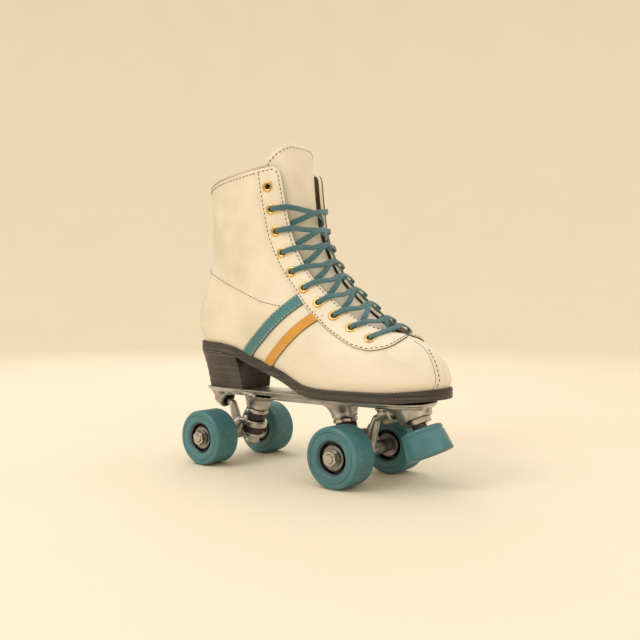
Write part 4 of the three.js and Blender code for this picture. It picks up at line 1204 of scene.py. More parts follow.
def seam(path: Sequence[tuple[Vector, Vector]], pitch: float = 4.2) -> list[Spot]:
    """Spaces stitches along a line on a surface.

    Args:
        path: The line, as points with the surface's outward directions.
        pitch: The distance from one stitch to the next, in millimetres.
    Returns:
        The stitches' spots.
    """
    points, ups = np.array([p for p, _ in path]), np.array([n for _, n in path])
    lengths = run_lengths(points)
    count = max(int(lengths[-1] / pitch), 1)
    spots = []
    for run in (np.arange(count) + 0.5) * lengths[-1] / count:
        at, ahead, up = (Vector([np.interp(r, lengths, a[:, i]) for i in range(3)])
                         for r, a in ((run, points), (run + 0.5, points), (run, ups)))
        behind = Vector([np.interp(run - 0.5, lengths, points[:, i]) for i in range(3)])
        spots.append(Spot(at, (ahead - behind).normalized(), up.normalized()))
    return spots


# ---- leather panels
GridSpot = Pair
ROOT = "boot_and_plate"


def stitched(spots: Iterable[GridSpot], proud: float, pitch: float = 4.2) -> list[Spot]:
    """Spaces stitches along a line of places on the last, at a height above it."""
    return seam([(LAST.on(v, a, proud), LAST.normal(v, a)) for v, a in spots], pitch)


def clustered(count: int, edge: float) -> np.ndarray:
    """Spaces stations evenly, with extra ones close to both ends for rolled edges."""
    inner = np.linspace(edge, 1 - edge, count + 1)
    return np.concatenate([[0, edge * 0.3], inner, [1 - edge * 0.3, 1]])


def panel(name: str, spots: Sequence[Sequence[GridSpot]], low: float, high: float, finish: str,
          puff: Callable[[float, float], float] = lambda u, w: 0.0) -> Piece:
    """Makes a thin piece of leather that lies on the last, with rolled edges in a dark cut-edge finish, edge paint that
    also serves as a painted shadow line.

    Args:
        name: The piece's name.
        spots: Its grid of places on the last, close together near the borders.
        low: The height of its underside above the last.
        high: The height of its face.
        finish: Its finish.
        puff: How much higher the face stands at a place of the grid, from 0 to 1 each way.
    Returns:
        The piece.
    """
    rows, columns = len(spots), len(spots[0])
    roll = (0.35, 0.8)

    def share(i: int, n: int) -> float:
        """Gives how far a border's point has risen."""
        near = min(i, n - 1 - i)
        return roll[near] if near < len(roll) else 1.0

    tops, bottoms = [], []
    for r, row in enumerate(spots):
        for c, (v, angle) in enumerate(row):
            rise = min(share(r, rows), share(c, columns))
            raised = puff(r / (rows - 1), c / (columns - 1))
            tops.append(LAST.on(v, angle, lerp(low, high + raised, rise)))
            bottoms.append(LAST.on(v, angle, low))
    faces = shell_faces(rows, columns)
    # Painted shadow line: the rim and the outermost rows of faces take the dark cut-edge finish.
    cut = [r in (0, rows - 2) or c in (0, columns - 2) for r in range(rows - 1) for c in range(columns - 1)]
    paint = [*cut, *cut, *[True] * (len(faces) - 2 * len(cut))]
    obj = mesh_object(name, tops + bottoms, faces, 70, [int(index) for index in paint])
    for word in (finish, "cut edge"):
        obj.data.materials.append(FINISH[word])
    return obj


def hermite(points: Sequence[Vector], extra: Sequence[Sequence[float]], step: float
            ) -> tuple[list[Vector], list[list[float]]]:
    """Runs a smooth line through points and carries other values along it.

    Args:
        points: The points.
        extra: Lists of values, one for each point.
        step: The length of a stretch of the line, in millimetres.
    Returns:
        The line's points and the carried lists.
    """
    lengths = np.array([max((b - a).length, 1e-3) for a, b in zip(points, points[1:])])
    tangents = [(points[min(i + 1, len(points) - 1)] - points[max(i - 1, 0)])
                / (lengths[max(i - 1, 0):i + 1].sum() if i < len(lengths) else lengths[-1])
                for i in range(len(points))]
    made, carried = [], [[] for _ in extra]
    for i, length in enumerate(lengths):
        count = max(int(round(length / step)), 2)
        for u in np.linspace(0, 1, count, endpoint=i == len(lengths) - 1):
            a, b = 2 * u ** 3 - 3 * u * u + 1, 3 * u * u - 2 * u ** 3
            c, d = (u ** 3 - 2 * u * u + u) * length, (u ** 3 - u * u) * length
            made.append(points[i] * a + points[i + 1] * b + tangents[i] * c + tangents[i + 1] * d)
            for values, kept in zip(extra, carried):
                kept.append(lerp(values[i], values[i + 1], float(u)))
    return made, carried


def ribbon(name: str, path: Sequence[Vector], faces_to: Sequence[Vector], widths: Sequence[float], thickness: float
           ) -> Piece:
    """Makes a flat woven lace along a path, with a weave map.

    Args:
        name: The piece's name.
        path: Its middle line.
        faces_to: The direction that its flat side faces at each point.
        widths: Its width at each point.
        thickness: Its thickness.
    Returns:
        The lace.
    """
    sides, gone = 16, 0.0
    points, uvs = [], []
    for i, (at, up, width) in enumerate(zip(path, faces_to, widths)):
        along = (path[min(i + 1, len(path) - 1)] - path[max(i - 1, 0)]).normalized()
        gone += (at - path[i - 1]).length if i else 0.0
        across = along.cross(up).normalized()
        high = across.cross(along).normalized()
        for c, s in round_turn(sides):
            flat = math.copysign(abs(c) ** 0.7, c)
            points.append(at + across * (flat * width / 2) + high * (math.copysign(abs(s) ** 0.75, s) * thickness / 2))
            uvs.append((flat / 2 + 0.5, gone * MM))
    mesh = bpy.data.meshes.new(name)
    ends = [tuple(reversed(range(sides))), tuple(range(len(points) - sides, len(points)))]
    mesh.from_pydata([place(p) for p in points], [], [*grid_faces(len(path), sides, True), *ends])
    weave = mesh.uv_layers.new(name="weave")
    for loop in mesh.loops:
        weave.data[loop.index].uv = uvs[loop.vertex_index]
    return new_object(name, tidy(mesh, 60, 1e-7))


# ---- boot
@dataclass
class Boot:
    """The leather boot: the upper, its facings, trims and seams, the tongue and the lace."""

    wall: float = UPPER_WALL
    facing: float = FACING
    gap: float = 0.3
    stripe: float = 1.2
    tongue_depth: float = 8.4
    tongue_thickness: float = 4.5
    tongue_rise: float = 22.0
    lace_width: float = 5.4
    lace_thickness: float = 1.5
    eyelet_bore: float = 2.9
    thread_lift: float = 0.12
    rows: int = 96
    columns: int = 230
    stitches: list[Spot] = field(default_factory=list)
    pale_stitches: list[Spot] = field(default_factory=list)

    def girth_angles(self, v: float, gap: float, count: int) -> list[float]:
        """Spaces angles evenly round a girth line, from the gap's right edge over the heel to its left edge.

        Args:
            v: The girth line.
            gap: Half the gap's width.
            count: The number of stretches.
        Returns:
            The angles, with the left side below 0.
        """
        end = LAST.front_angle(v, gap) if gap else math.pi
        fine = np.linspace(end, -end, 420)
        lengths = run_lengths([LAST.point(v, a) for a in fine])
        return list(np.interp(np.linspace(0, lengths[-1], count + 1), lengths, fine))

    def upper(self) -> Piece:
        """Builds the shell of the boot with its lining, cut for the eyelets.

        Returns:
            The upper.
        """
        levels = np.unique(np.concatenate([np.linspace(0, LAST.collar, self.rows), [THROAT_END, 3.9, 3.94, 3.97]]))
        angles = [self.girth_angles(v, half_gap(v) if v >= THROAT_END else 0.0, self.columns) for v in levels]
        outer = [LAST.on(v, a) for v, row in zip(levels, angles) for a in row]
        inner = [LAST.on(v, a, -self.wall) for v, row in zip(levels, angles) for a in row]
        rows, columns = len(levels), self.columns + 1
        closed = sum(v < THROAT_END for v in levels)
        count = rows * columns
        shell = grid_faces(rows, columns)
        faces = [*shell, *(tuple(count + i for i in reversed(face)) for face in shell)]
        rims = [[c for c in range(columns)], [(rows - 1) * columns + c for c in range(columns)],
                [r * columns for r in range(closed - 1, rows)],
                [r * columns + columns - 1 for r in range(closed - 1, rows)]]
        faces += [(a, b, count + b, count + a) for rim in rims for a, b in zip(rim, rim[1:])]
        obj = mesh_object("upper", outer + inner, faces, 50)
        obj.data.materials.append(FINISH["cream leather"])
        obj.data.materials.append(FINISH["lining leather"])
        self.line_inside(obj)
        return self.punch(obj)

    def line_inside(self, obj: Piece) -> None:
        """Gives the faces that look into the boot the lining.

        Args:
            obj: The upper.
        """
        for face in obj.data.polygons:
            middle = face.center / MM - SHIFT
            axis = Vector((lerp(-50, 60, min(max((230 - middle.z) / 100, 0), 1)), 4, min(middle.z, 200)))
            face.material_index = int(face.normal.dot(middle - axis) < 0)

    def punch(self, obj: Piece) -> Piece:
        """Cuts the eyelets' holes."""
        tool = join("drill", [self.drill(v, side) for v in ROWS for side in Side])
        return cut_away(obj, [tool])

    def drill(self, v: float, side: Side) -> Piece:
        """Makes the shape of one eyelet's hole."""
        s = side.value * eyelet_out(v)
        return swept("drill", [LAST.from_front(v, s, h) for h in (-9, 9)], self.eyelet_bore, 18)

    def facing_panel(self, side: Side) -> Piece:
        """Builds the facing that holds a side's eyelets.

        Args:
            side: The side of the boot.
        Returns:
            The facing.
        """
        low = [2.72, 2.728, 2.74, 2.765, 2.8, 2.85, 2.92]
        levels = np.concatenate([low, np.linspace(3.0, 8.88, 84), [8.9, 8.93, 8.94]])
        across = clustered(16, 0.03)
        spots = [[(v, LAST.front_angle(v, side.value * lerp(facing_in(v), facing_out(v), t))) for t in across]
                 for v in levels]
        return self.punch(panel(f"facing {side.name.lower()}", spots, 0.05, self.gap + self.facing, "cream leather"))

    def facing_stitches(self, side: Side) -> None:
        """Lays the rows of stitches round a facing.

        Args:
            side: The side of the boot.
        """
        tip = [(3.12, facing_in(3.12) + 2.9), (3.0, 43.5), (2.92, 50), (2.8, 62), (2.84, 66), (2.92, 70.5), (3.0, 74.8)]
        lines = ([(v, facing_out(v) - 3.4) for v in np.linspace(3.02, 8.84, 120)],
                 [(v, facing_in(v) + 2.9) for v in np.linspace(3.12, 8.8, 120)], tip)
        for line in lines:
            spots = [(v, LAST.front_angle(v, side.value * s)) for v, s in line]
            self.stitches += stitched(spots, self.gap + self.facing + 0.1)

    def eyelet_spots(self, proud: float, facing: int = 1) -> list[Spot]:
        """Lists the places of the eyelets."""
        angles = [(v, LAST.front_angle(v, side.value * eyelet_out(v))) for v in ROWS for side in Side]
        return [Spot(LAST.on(v, a, proud), LAST.normal(v, a).orthogonal(), LAST.normal(v, a) * facing)
                for v, a in angles]

    def eyelets(self) -> Piece:
        """Builds the ring of every eyelet, with its barrel through the leather.

        Returns:
            The eyelets.
        """
        bore, out, top = self.eyelet_bore - 0.35, 5.6, 0.9
        profile = [(bore, -6.2), (bore, 0.15), (bore + 0.4, top * 0.75), (bore + 1.2, top), (out - 0.9, top * 0.8),
                   (out, 0.1), (out - 0.15, -0.15), (bore + 0.35, -0.15), (bore + 0.35, -6.2)]
        ring = turned("eyelet", profile, -SHIFT, UP, 36, 0.3)
        return Scatter("eyelets", ring, "brass", 0.2).lay(self.eyelet_spots(self.gap + self.facing + 0.05))

    def washers(self) -> Piece:
        """Builds the turned-over rim of every eyelet inside the boot."""
        ring = turned("washer", [(2.6, 0), (2.7, 0.5), (4.6, 0.35), (4.7, 0)], -SHIFT, UP, 28, 0.2)
        return Scatter("eyelet washers", ring, "brass").lay(self.eyelet_spots(-self.wall - 0.02, -1))

    def wells(self) -> Piece:
        """Builds the near-black discs inside the eyelets, painted shadow that darkens their holes."""
        patch = turned("well", [(0, -0.4), (2.25, -0.4), (2.25, 0.5), (0, 0.5)], -SHIFT, UP, 28, 0.1)
        return Scatter("eyelet wells", patch, "dark cloth").lay(self.eyelet_spots(0.0))

    def collar(self) -> Piece:
        """Builds the rolled binding along the collar.

        Returns:
            The binding.
        """
        top = LAST.collar
        angles = self.girth_angles(top, half_gap(top) + 0.5, 150)
        path = [LAST.on(top, a, -self.wall / 2 + 0.1) for a in angles]
        level = top - 0.16
        for side in Side:
            ends = facing_in(level) + 3, facing_out(level) - 2
            over = [(level, LAST.front_angle(level, side.value * x)) for x in np.linspace(*ends, 12)]
            self.stitches += stitched(over, self.gap + self.facing + 0.1)
        back = [(level, a) for a in self.girth_angles(level, facing_out(level) + 1, 120)]
        self.stitches += stitched(back, self.thread_lift)
        binding = swept("collar binding", path, 1.75, 14)
        binding.data.materials.append(FINISH["worn binding"])
        return binding

    def back_strip(self) -> Piece:
        """Builds the narrow dark strip up the seam at the back.

        Returns:
            The strip.
        """
        levels = clustered(70, 0.004) * 8.86 + 0.03
        spots = []
        for v in levels:
            reach = 3.3 / max((LAST.point(v, 0.05) - LAST.point(v, 0)).length / 0.05, 1)
            spots.append([(v, reach * (1 - 2 * t)) for t in clustered(6, 0.12)])
        return panel("back strip", spots, 0.02, 0.9, "dark piping")

    def stripe_panel(self, colour: str, width: float, line: Sequence[Pair], side: Side
                     ) -> Piece:
        """Builds a strip of coloured leather down the boot's side, with a row of stitches along each edge.

        Args:
            colour: The leather's colour.
            width: The strip's width.
            line: Three points of its middle line, as X and Z.
            side: The side of the boot.
        Returns:
            The strip.
        """
        start, bend, end = (Vector(point) for point in line)

        def spot(t: float, w: float) -> GridSpot:
            """Finds a place of the strip."""
            at = start * (1 - t) ** 2 + bend * 2 * t * (1 - t) + end * t * t
            way = ((bend - start) * (1 - t) + (end - bend) * t).normalized()
            at = at + Vector((-way.y, way.x)) * w
            v, angle = LAST.side_spot(at.x, max(at.y, LAST.sole_height(at.x) + 0.6))
            return v, angle if side is Side.RIGHT else -angle

        spots = [[spot(t, lerp(-width / 2, width / 2, u)) for u in clustered(8, 0.06)] for t in clustered(44, 0.008)]
        for w in (-width / 2 + 1.5, width / 2 - 1.5):
            path = [spot(t, w) for t in np.linspace(0.03, 0.985, 60)]
            self.pale_stitches += stitched(path, self.stripe + 0.38, 4.4)
        return panel(f"{colour} stripe {side.name.lower()}", spots, 0.05, self.gap + self.stripe, f"{colour} leather")

    def seams(self) -> None:
        """Lays the stitches of the counter and of the toe's seam."""
        counter = [(5.32, 0.79), (5.16, 1.0), (4.92, 1.24), (4.7, 1.38), (4.56, 1.46), (4.5, 1.6)]
        lines, angles = ([(i, spot[k]) for i, spot in enumerate(counter)] for k in (0, 1))
        for sign in (1, -1):
            front = [(smooth(lines, t), sign * smooth(angles, t)) for t in np.linspace(0, 5, 70)]
            back = [(lerp(5.34, 5.75, t ** 1.5), sign * (0.79 - 0.74 * t)) for t in np.linspace(0, 1, 40)]
            self.stitches += stitched(front, self.thread_lift) + stitched(back, self.thread_lift)
        toe = [(v, LAST.front_angle(v, toe_seam(v) - 3.6)) for v in np.linspace(0.3, 3.0, 90)]
        self.stitches += stitched(toe, self.thread_lift)

    def toe_ridge(self) -> Piece:
        """Builds the low ridge of leather along the toe's seam.

        Returns:
            The ridge.
        """
        levels = clustered(60, 0.004) * 3.4 + 0.12
        across = (-0.7, -0.5, -0.25, 0, 0.25, 0.5, 0.7)
        spots = [[(v, LAST.front_angle(v, toe_seam(v) + w)) for w in across] for v in levels]
        return panel("toe seam", spots, -0.3, 0.5, "cream leather")

    def tongue(self) -> Piece:
        """Builds the padded tongue with its lining, its rolled rim and the stitches inside the rim.

        Returns:
            The tongue.
        """
        spacing = LAST.line(9)[1] - LAST.line(8)[1]
        top = LAST.collar + self.tongue_rise / spacing
        table = [(3.55, 12), (4, 30), (5, 42), (7, 43), (8, 49), (9, 56), (9.2, 54), (9.4, 46), (9.55, 36), (top, 21)]
        levels = list(clustered(90, 0.006) * (top - 3.55) + 3.55)
        spots = [[(v, s) for s in (clustered(26, 0.02) * 2 - 1) * smooth(table, v)] for v in levels]
        face, back = -self.tongue_depth, -self.tongue_depth - self.tongue_thickness
        count = len(levels) * len(spots[0])
        outer, inner = [], []
        for r, row in enumerate(spots):
            for c, (v, s) in enumerate(row):
                near = min(c, len(row) - 1 - c, len(levels) - 1 - r)
                rise = {0: 0.3, 1: 0.75}.get(near, 1.0)
                puffed = 0.5 * math.sin(math.pi * c / (len(row) - 1)) if near > 2 else 0.0
                outer.append(LAST.from_front(v, s, lerp(back + 2.2, face + puffed - 0.2, rise)))
                inner.append(LAST.from_front(v, s, lerp(back + 2.2, back, rise)))
        faces = shell_faces(len(levels), len(spots[0]))
        obj = mesh_object("tongue", outer + inner, faces, 70)
        for name in ("cream leather", "lining cloth"):
            obj.data.materials.append(FINISH[name])
        for poly in obj.data.polygons:
            poly.material_index = int(any(i >= count for i in poly.vertices))
        inset = 4.2
        rim = [(v, smooth(table, v)) for v in np.linspace(8.2, top, 60)]
        inward = [(v - inset / spacing * (v / top) ** 12, half - inset) for v, half in rim]
        end = inward[-1][1] - 2
        path = [(v, -s) for v, s in inward] + [(inward[-1][0], s) for s in np.linspace(-end, end, 12)] + inward[::-1]
        self.stitches += stitched([(v, LAST.front_angle(v, s)) for v, s in path], face + 0.15)
        return obj

    def strand_stops(self, start: Side) -> list[tuple[float, float, float, float]]:
        """Lists the places that one strand of the lace passes through.

        Args:
            start: The side that it leaves the bottom row on.
        Returns:
            Each stop's girth line, distance from the front, height and width.
        """
        over, under = self.gap + self.facing + 1.5, -self.wall - 1.3
        stops: list[tuple[float, float, float, float]] = []

        def put(line: float, s: float, proud: float, width: float = self.lace_width) -> None:
            """Adds a stop."""
            lead = lace_lead(line) * (1 - min(1, abs(s) / eyelet_out(line)))
            stops.append((line + lead, s, proud, width))

        def edge(line: float) -> float:
            """Gives the gap's edge where the lace crosses it."""
            return half_gap(line + lace_lead(line) * 0.35)

        bottom, side = ROWS[-1], start.value
        put(bottom, side * (edge(bottom) - 4), over + 0.2)
        put(bottom, side * (edge(bottom) + 5), over + 0.9)
        for row in range(len(ROWS) - 1, 0, -1):
            v = ROWS[row]
            put(v, side * (eyelet_out(v) - 1.2), over + 0.2, 4.8)
            put(v, side * (eyelet_out(v) + 0.6), -0.4, 3.6)
            put(v, side * eyelet_out(v), under, 4)
            if row == 1:
                put(v - 0.3, side * (eyelet_out(v) - 4), under)
                break
            step = ROWS[row - 1] - v
            top = 0.9 if side > 0 else -0.8
            low, high = (0.24, 1.08) if side > 0 else (0.34, 0.98)
            for along, beside, proud in ((0.0, 1.06, under), (0.25, 0.5, -1.7), (0.5, 0.0, 0.8 + top),
                                         (0.75, -0.5, 1.0 + top * 0.8), (1.0, -0.96, over)):
                line = v + lerp(low, high, along) * step
                put(line, side * beside * edge(line), proud)
            put(v + (high + 0.02) * step, -side * (edge(v + step) + 6), over + 0.5)
            side = -side
        return stops

    def lace(self) -> Piece:
        """Builds the lace, which runs down one side's zigzag, over the bottom bar and up the other's.

        Returns:
            The lace.
        """
        middle = (ROWS[-1] + lace_lead(ROWS[-1]), 0.0, 1.7, self.lace_width)
        stops = [*reversed(self.strand_stops(Side.LEFT)), middle, *self.strand_stops(Side.RIGHT)]
        points = [LAST.from_front(v, s, proud) for v, s, proud, _ in stops]
        path, (lines, sides, widths) = hermite(points, list(zip(*[(v, s, w) for v, s, _, w in stops])), 1.3)
        facing = [LAST.normal(v, LAST.front_angle(v, s)) for v, s in zip(lines, sides)]
        return ribbon("lace", path, facing, widths, self.lace_thickness)

    def build(self) -> None:
        """Builds and dresses the whole boot."""
        dress(self.upper(), "cream leather", ROOT, ["boot_upper"])
        for side in Side:
            word = side.name.lower()
            dress(self.facing_panel(side), "cream leather", ROOT, [f"facing_{word}"])
            self.facing_stitches(side)
            for colour, width, line in (("teal", 13, ((37, 175), (-16, 139), (-47, 114))),
                                        ("amber", 11, ((60, 161), (14, 130), (-16, 104.5)))):
                stripe = self.stripe_panel(colour, width, line, side)
                dress(stripe, f"{colour} leather", ROOT, [f"stripe_{colour}_{word}"])
        dress(self.eyelets(), "brass", ROOT)
        dress(self.washers(), "brass", ROOT)
        dress(self.wells(), "dark cloth", ROOT)
        dress(self.collar(), "worn binding", ROOT)
        dress(self.back_strip(), "dark piping", ROOT)
        dress(self.toe_ridge(), "cream leather", ROOT)
        dress(self.tongue(), "cream leather", ROOT, ["tongue"])
        dress(self.lace(), "teal lace", ROOT, ["lace"])
        self.seams()
        for name, finish, spots in (("stitches", "thread", self.stitches),
                                    ("stripe stitches", "pale thread", self.pale_stitches)):
            dress(Scatter(name, stitch_piece(), finish, 0.06).lay(spots), finish, ROOT)


# ---- sole and heel
@dataclass
class Sole:
    """The welt, the outsole, the stacked heel and the insole."""

    gap: float = 0.3
    welt: float = 3.6
    outsole: float = 5.4
    proud: float = 3.0
    heel_length: float = 78.0
    heel_taper: float = 9.0
    plate_top: float = 78.0
    count: int = 220

    def angles(self) -> list[float]:
        """Spaces angles evenly round the feather line.

        Returns:
            The angles, from the heel over the right side.
        """
        fine = np.linspace(0, 2 * math.pi, 900)
        lengths = run_lengths([LAST.point(0, a) for a in fine])
        return list(np.interp(np.linspace(0, lengths[-1], self.count + 1)[:-1], lengths, fine))

    def ring(self, out: float, depth: float, angles: Sequence[float] | None = None) -> list[Vector]:
        """Makes a ring at a depth under the upper.

        Args:
            out: How far out it lies from the upper.
            depth: The depth under the upper's underside.
            angles: The angles to use.
        Returns:
            The ring.
        """
        made = []
        for angle in angles or self.angles():
            at = LAST.sole_edge(angle, out)
            made.append(Vector((at.x, at.y, LAST.sole_height(at.x) - depth)))
        return made

    def slab(self, name: str, top: float, bottom: float, rolls: Sequence[Pair]) -> Piece:
        """Makes a layer of the sole with a shaped edge."""
        rings = [self.ring(-14, top)] + [self.ring(out, lerp(top, bottom, share)) for share, out in rolls]
        return lofted(name, rings + [self.ring(-14, bottom)], 50)

    def build(self) -> None:
        """Builds and dresses the sole."""
        deep = self.gap + self.welt
        full = deep + self.gap + self.outsole
        edge = self.proud
        welt = self.slab("welt", 0.1, deep, [(0, -3), (0, edge - 0.7), (0.12, edge - 0.15), (0.3, edge), (0.8, edge),
                                             (1, edge - 0.35)])
        dress(welt, "sole edge", ROOT, ["welt"])
        outsole = self.slab("outsole", deep + 0.05, full, [(0, edge - 0.8), (0.1, edge - 0.2), (0.3, edge), (0.85, edge),
                                                           (0.96, edge - 0.4), (1, edge - 1)])
        dress(outsole, "stacked leather", ROOT, ["outsole"])
        angles = self.angles()
        path = [(Vector((p.x, p.y, LAST.sole_height(p.x) - 0.02)), UP) for p in
                (LAST.sole_edge(a, 1.75) for a in angles + angles[:1])]
        dress(Scatter("welt stitches", stitch_piece(2.6, 0.42), "thread", 0.05).lay(seam(path, 3.6)), "thread", ROOT)
        self.heel(full)
        rings = [self.ring(-3.2, -h) for h in (0.2, 5.0)] + [self.ring(-3.9, -5.6), self.ring(-5, -5.8)]
        dress(lofted("insole", rings, 50), "lining cloth", ROOT, ["insole"])

    def heel(self, full: float) -> None:
        """Builds the stacked heel.

        Args:
            full: The depth of the outsole's underside.
        """
        front = LAST.along(-0.5) + self.heel_length
        half = [a for a in self.angles() if a <= math.pi and LAST.sole_edge(a, 0).x < front]
        low, middle = self.plate_top + self.gap, LAST.point(0, 0).y
        steps = 15
        rings = []
        for k in range(steps + 1):
            share = k / steps
            out = lerp(self.proud - self.heel_taper, self.proud, share) - 0.9 * math.sin(math.pi * share)
            groove = 0.25 if k % 3 == 0 and 0 < k < steps else 0.0
            right = []
            for a in half:
                p = LAST.sole_edge(a, out - groove)
                right.append(Vector((p.x, p.y, lerp(low, LAST.sole_height(p.x) - full - 0.05, share))))
            left = [Vector((p.x, 2 * middle - p.y, p.z)) for p in right]
            breast = [right[-1].lerp(left[-1], u) - Vector((5 * math.sin(math.pi * u), 0, 0))
                      for u in np.linspace(0, 1, 13)[1:-1]]
            rings.append(right + breast + list(reversed(left[1:])))
        dress(lofted("heel", rings, 50), "stacked leather", ROOT, ["heel_block"])


# ---- plate
WHEEL_RADIUS = 28.5
AXLE_X = 85.5
KINGPIN_TILT = math.radians(12.5)
DOWN = Vector((-math.sin(KINGPIN_TILT), 0, -math.cos(KINGPIN_TILT)))
BOSS_FACE = Vector((27.5, 0, 28.5))
PIVOT = Vector((-20, 0, 35.5))
YOKE_DEPTH = 12.9
YOKE_HEIGHT = 7.0
YOKE = BOSS_FACE + DOWN * (YOKE_DEPTH + YOKE_HEIGHT / 2)
LEAN = (PIVOT - YOKE).normalized()
STOP_TILT = math.radians(26)
STOP_WAY = Vector((math.sin(STOP_TILT), 0, -math.cos(STOP_TILT)))
STOP_ROOT = Vector((132.5, 0, 73))


@dataclass(frozen=True)
class Axle:
    """The place of one truck: a turn and a shift from the truck's own layout, with the skate's middle at +X."""

    end: End

    def at(self, point: Vector) -> Vector:
        """Puts a point of the truck's layout in the skate's."""
        turned_ = Vector((-point.x, -point.y, point.z)) if self.end is End.FRONT else point
        return turned_ + Vector((self.end.value * AXLE_X, 0, WHEEL_RADIUS))

    def way(self, direction: Vector) -> Vector:
        """Turns a direction of the truck's layout into the skate's."""
        return self.at(direction) - self.at(Vector((0, 0, 0)))

    def down_kingpin(self, depth: float) -> Vector:
        """Gives a point on the kingpin's axis."""
        return self.at(BOSS_FACE + DOWN * depth)


def block(name: str, low: Sequence[float], high: Sequence[float]) -> Piece:
    """Makes a plain block."""
    corners = [(low[0], low[1]), (high[0], low[1]), (high[0], high[1]), (low[0], high[1])]
    return lofted(name, [[Vector((x, y, z)) for x, y in corners] for z in (low[2], high[2])], 30)


@dataclass
class Plate:
    """The cast sole plate with its bosses, sockets and ribs, the bolts and what is fixed to it."""

    top: float = 78.0
    thickness: float = 5.0
    back: float = -124.0
    front: float = 151.5
    bolts: tuple[tuple[str, float, float], ...] = (("rear_right", -87.5, -12), ("rear_left", -87.5, 12),
                                                   ("front_right", 115.5, -25), ("front_left", 115.5, 25))

    def half(self, x: float) -> float:
        """Gives half the plate's width."""
        return smooth([(self.back, 24), (-40, 21), (20, 21), (AXLE_X - 10, 35), (self.front, 35)], x)

    def outline(self, inset: float, z: float) -> list[Vector]:
        """Makes the plate's outline.

        Args:
            inset: How far in it lies.
            z: Its height.
        Returns:
            The ring.
        """
        middle, reach = (self.back + self.front) / 2, (self.front - self.back) / 2 - inset
        ring = []
        for c, s in round_turn(160):
            x = middle - reach * math.copysign(math.sqrt(abs(c)), c)
            ring.append(Vector((x, -(self.half(x) - inset) * math.copysign(math.sqrt(abs(s)), s), z)))
        return ring

    def casting(self) -> Piece:
        """Builds the plate's casting.

        Returns:
            The casting.
        """
        bottom = self.top - self.thickness
        edge = ((3.0, bottom), (1.8, bottom + 0.6), (1.6, self.top - 2.4), (0.3, self.top - 2.1), (0, self.top - 1.2),
                (0, self.top))
        slab = lofted("slab", [self.outline(inset, z) for inset, z in edge])

        def along_stem(*depths: float) -> list[Vector]:
            """Gives points on the toe stop's axis."""
            return [STOP_ROOT + STOP_WAY * depth for depth in depths]

        pieces = [slab, block("rib", (-58, -4.5, 67), (58, 4.5, 75)),
                  swept("toe boss", along_stem(12.5, 11, 2, -9), [15.2, 15.6, 17, 22], 64)]
        pieces += [swept("web", [Vector((x, y * 3, 71)), Vector((x * 1.9, y * 15, 73))], 2.2, 16)
                   for y in (-1, 1) for x in (-48, 48)]
        cuts = [swept("stem bore", along_stem(14, -12), 7.8, 48)]
        for end in End:
            pieces += self.bosses(Axle(end))
            cuts += self.bores(Axle(end))
        cuts.append(block("above", (-300, -100, self.top), (300, 100, 140)))
        cuts += [turned("bolt hole", [(0, 72), (2.9, 72), (2.9, 79), (0, 79)], Vector((x, y, 0)), UP, 32)
                 for _, x, y in self.bolts]
        return cast("plate", pieces, cuts, 0.8, 5)

    def bosses(self, axle: Axle) -> list[Piece]:
        """Builds the solid shapes that hold a truck.

        Args:
            axle: The truck's place.
        Returns:
            The shapes.
        """
        boss = swept("boss", [axle.down_kingpin(-d) for d in (0, 1.0, 5, 11, 17)], [12.0, 12.4, 12.9, 15.5, 22], 64)
        way = axle.way(LEAN)
        pivot = axle.at(PIVOT)
        socket = swept("socket", [pivot + way * d for d in (-3.5, -2.4, 8, 9.2)], [9.7, 10.4, 10.4, 8], 48)
        feet = [axle.at(Vector((-24, 0, z))) for z in (35.5, 40, 45.5)]
        return [boss, socket, swept("post", feet, [9.2, 10.8, 14.2], 48)]

    def bores(self, axle: Axle) -> list[Piece]:
        """Builds the shapes that are cut for a truck."""
        way, pivot = axle.way(LEAN), axle.at(PIVOT)
        return [swept("kingpin bore", [axle.down_kingpin(d) for d in (3, -13.3)], 4.2, 40),
                swept("pivot bore", [pivot + way * d for d in (-14, 6.3)], 7.4, 48)]

    def build(self) -> None:
        """Builds and dresses the plate and its bolts."""
        dress(self.casting(), "cast alloy", ROOT, ["plate"])
        for word, x, y in self.bolts:
            base = Vector((x, y, self.top - self.thickness - 0.1))
            head = turned("head", [(0, 0), (4.9, 0), (5.0, 0.9), (4.2, 2.2), (2.6, 3.2), (2.2, 3.3), (1.7, 1.9), (0, 1.9)],
                          base, -UP, 48, 0.25)
            shank = threaded("shank", base - Vector((0, 0, 0.5)), UP, 2.5, 9.4, 0.8)
            dress(join(f"bolt {word}", [head, shank]), "steel", ROOT, [f"mounting_bolt_{word}"])


def threaded(name: str, base: Vector, axis: Vector, radius: float, length: float, pitch: float,
             plain: float = 0.0) -> Piece:
    """Makes a rod with a screw thread, cut as a true helix.

    Args:
        name: The rod's name.
        base: The middle of its lower end.
        axis: Its direction.
        radius: The thread's outer radius.
        length: Its length.
        pitch: The thread's pitch.
        plain: The length above the base that has no thread.
    Returns:
        The rod.
    """
    turn, sides, per = frame_about(axis), 32, 6
    levels = np.arange(0, length + 1e-6, pitch / per)
    rings = []
    for z in levels:
        ring = []
        fade = min(1, max(0, (z - plain) / pitch)) * min(1, (length - z) / pitch)
        for a in np.linspace(0, 2 * math.pi, sides, endpoint=False):
            wave = abs(((z / pitch - a / (2 * math.pi)) % 1) * 2 - 1)
            r = radius - 0.6 * pitch * wave * fade - (0.5 if z in (levels[0], levels[-1]) else 0)
            ring.append(base + turn @ Vector((r * math.cos(a), r * math.sin(a), z)))
        rings.append(ring)
    return lofted(name, rings, 60)


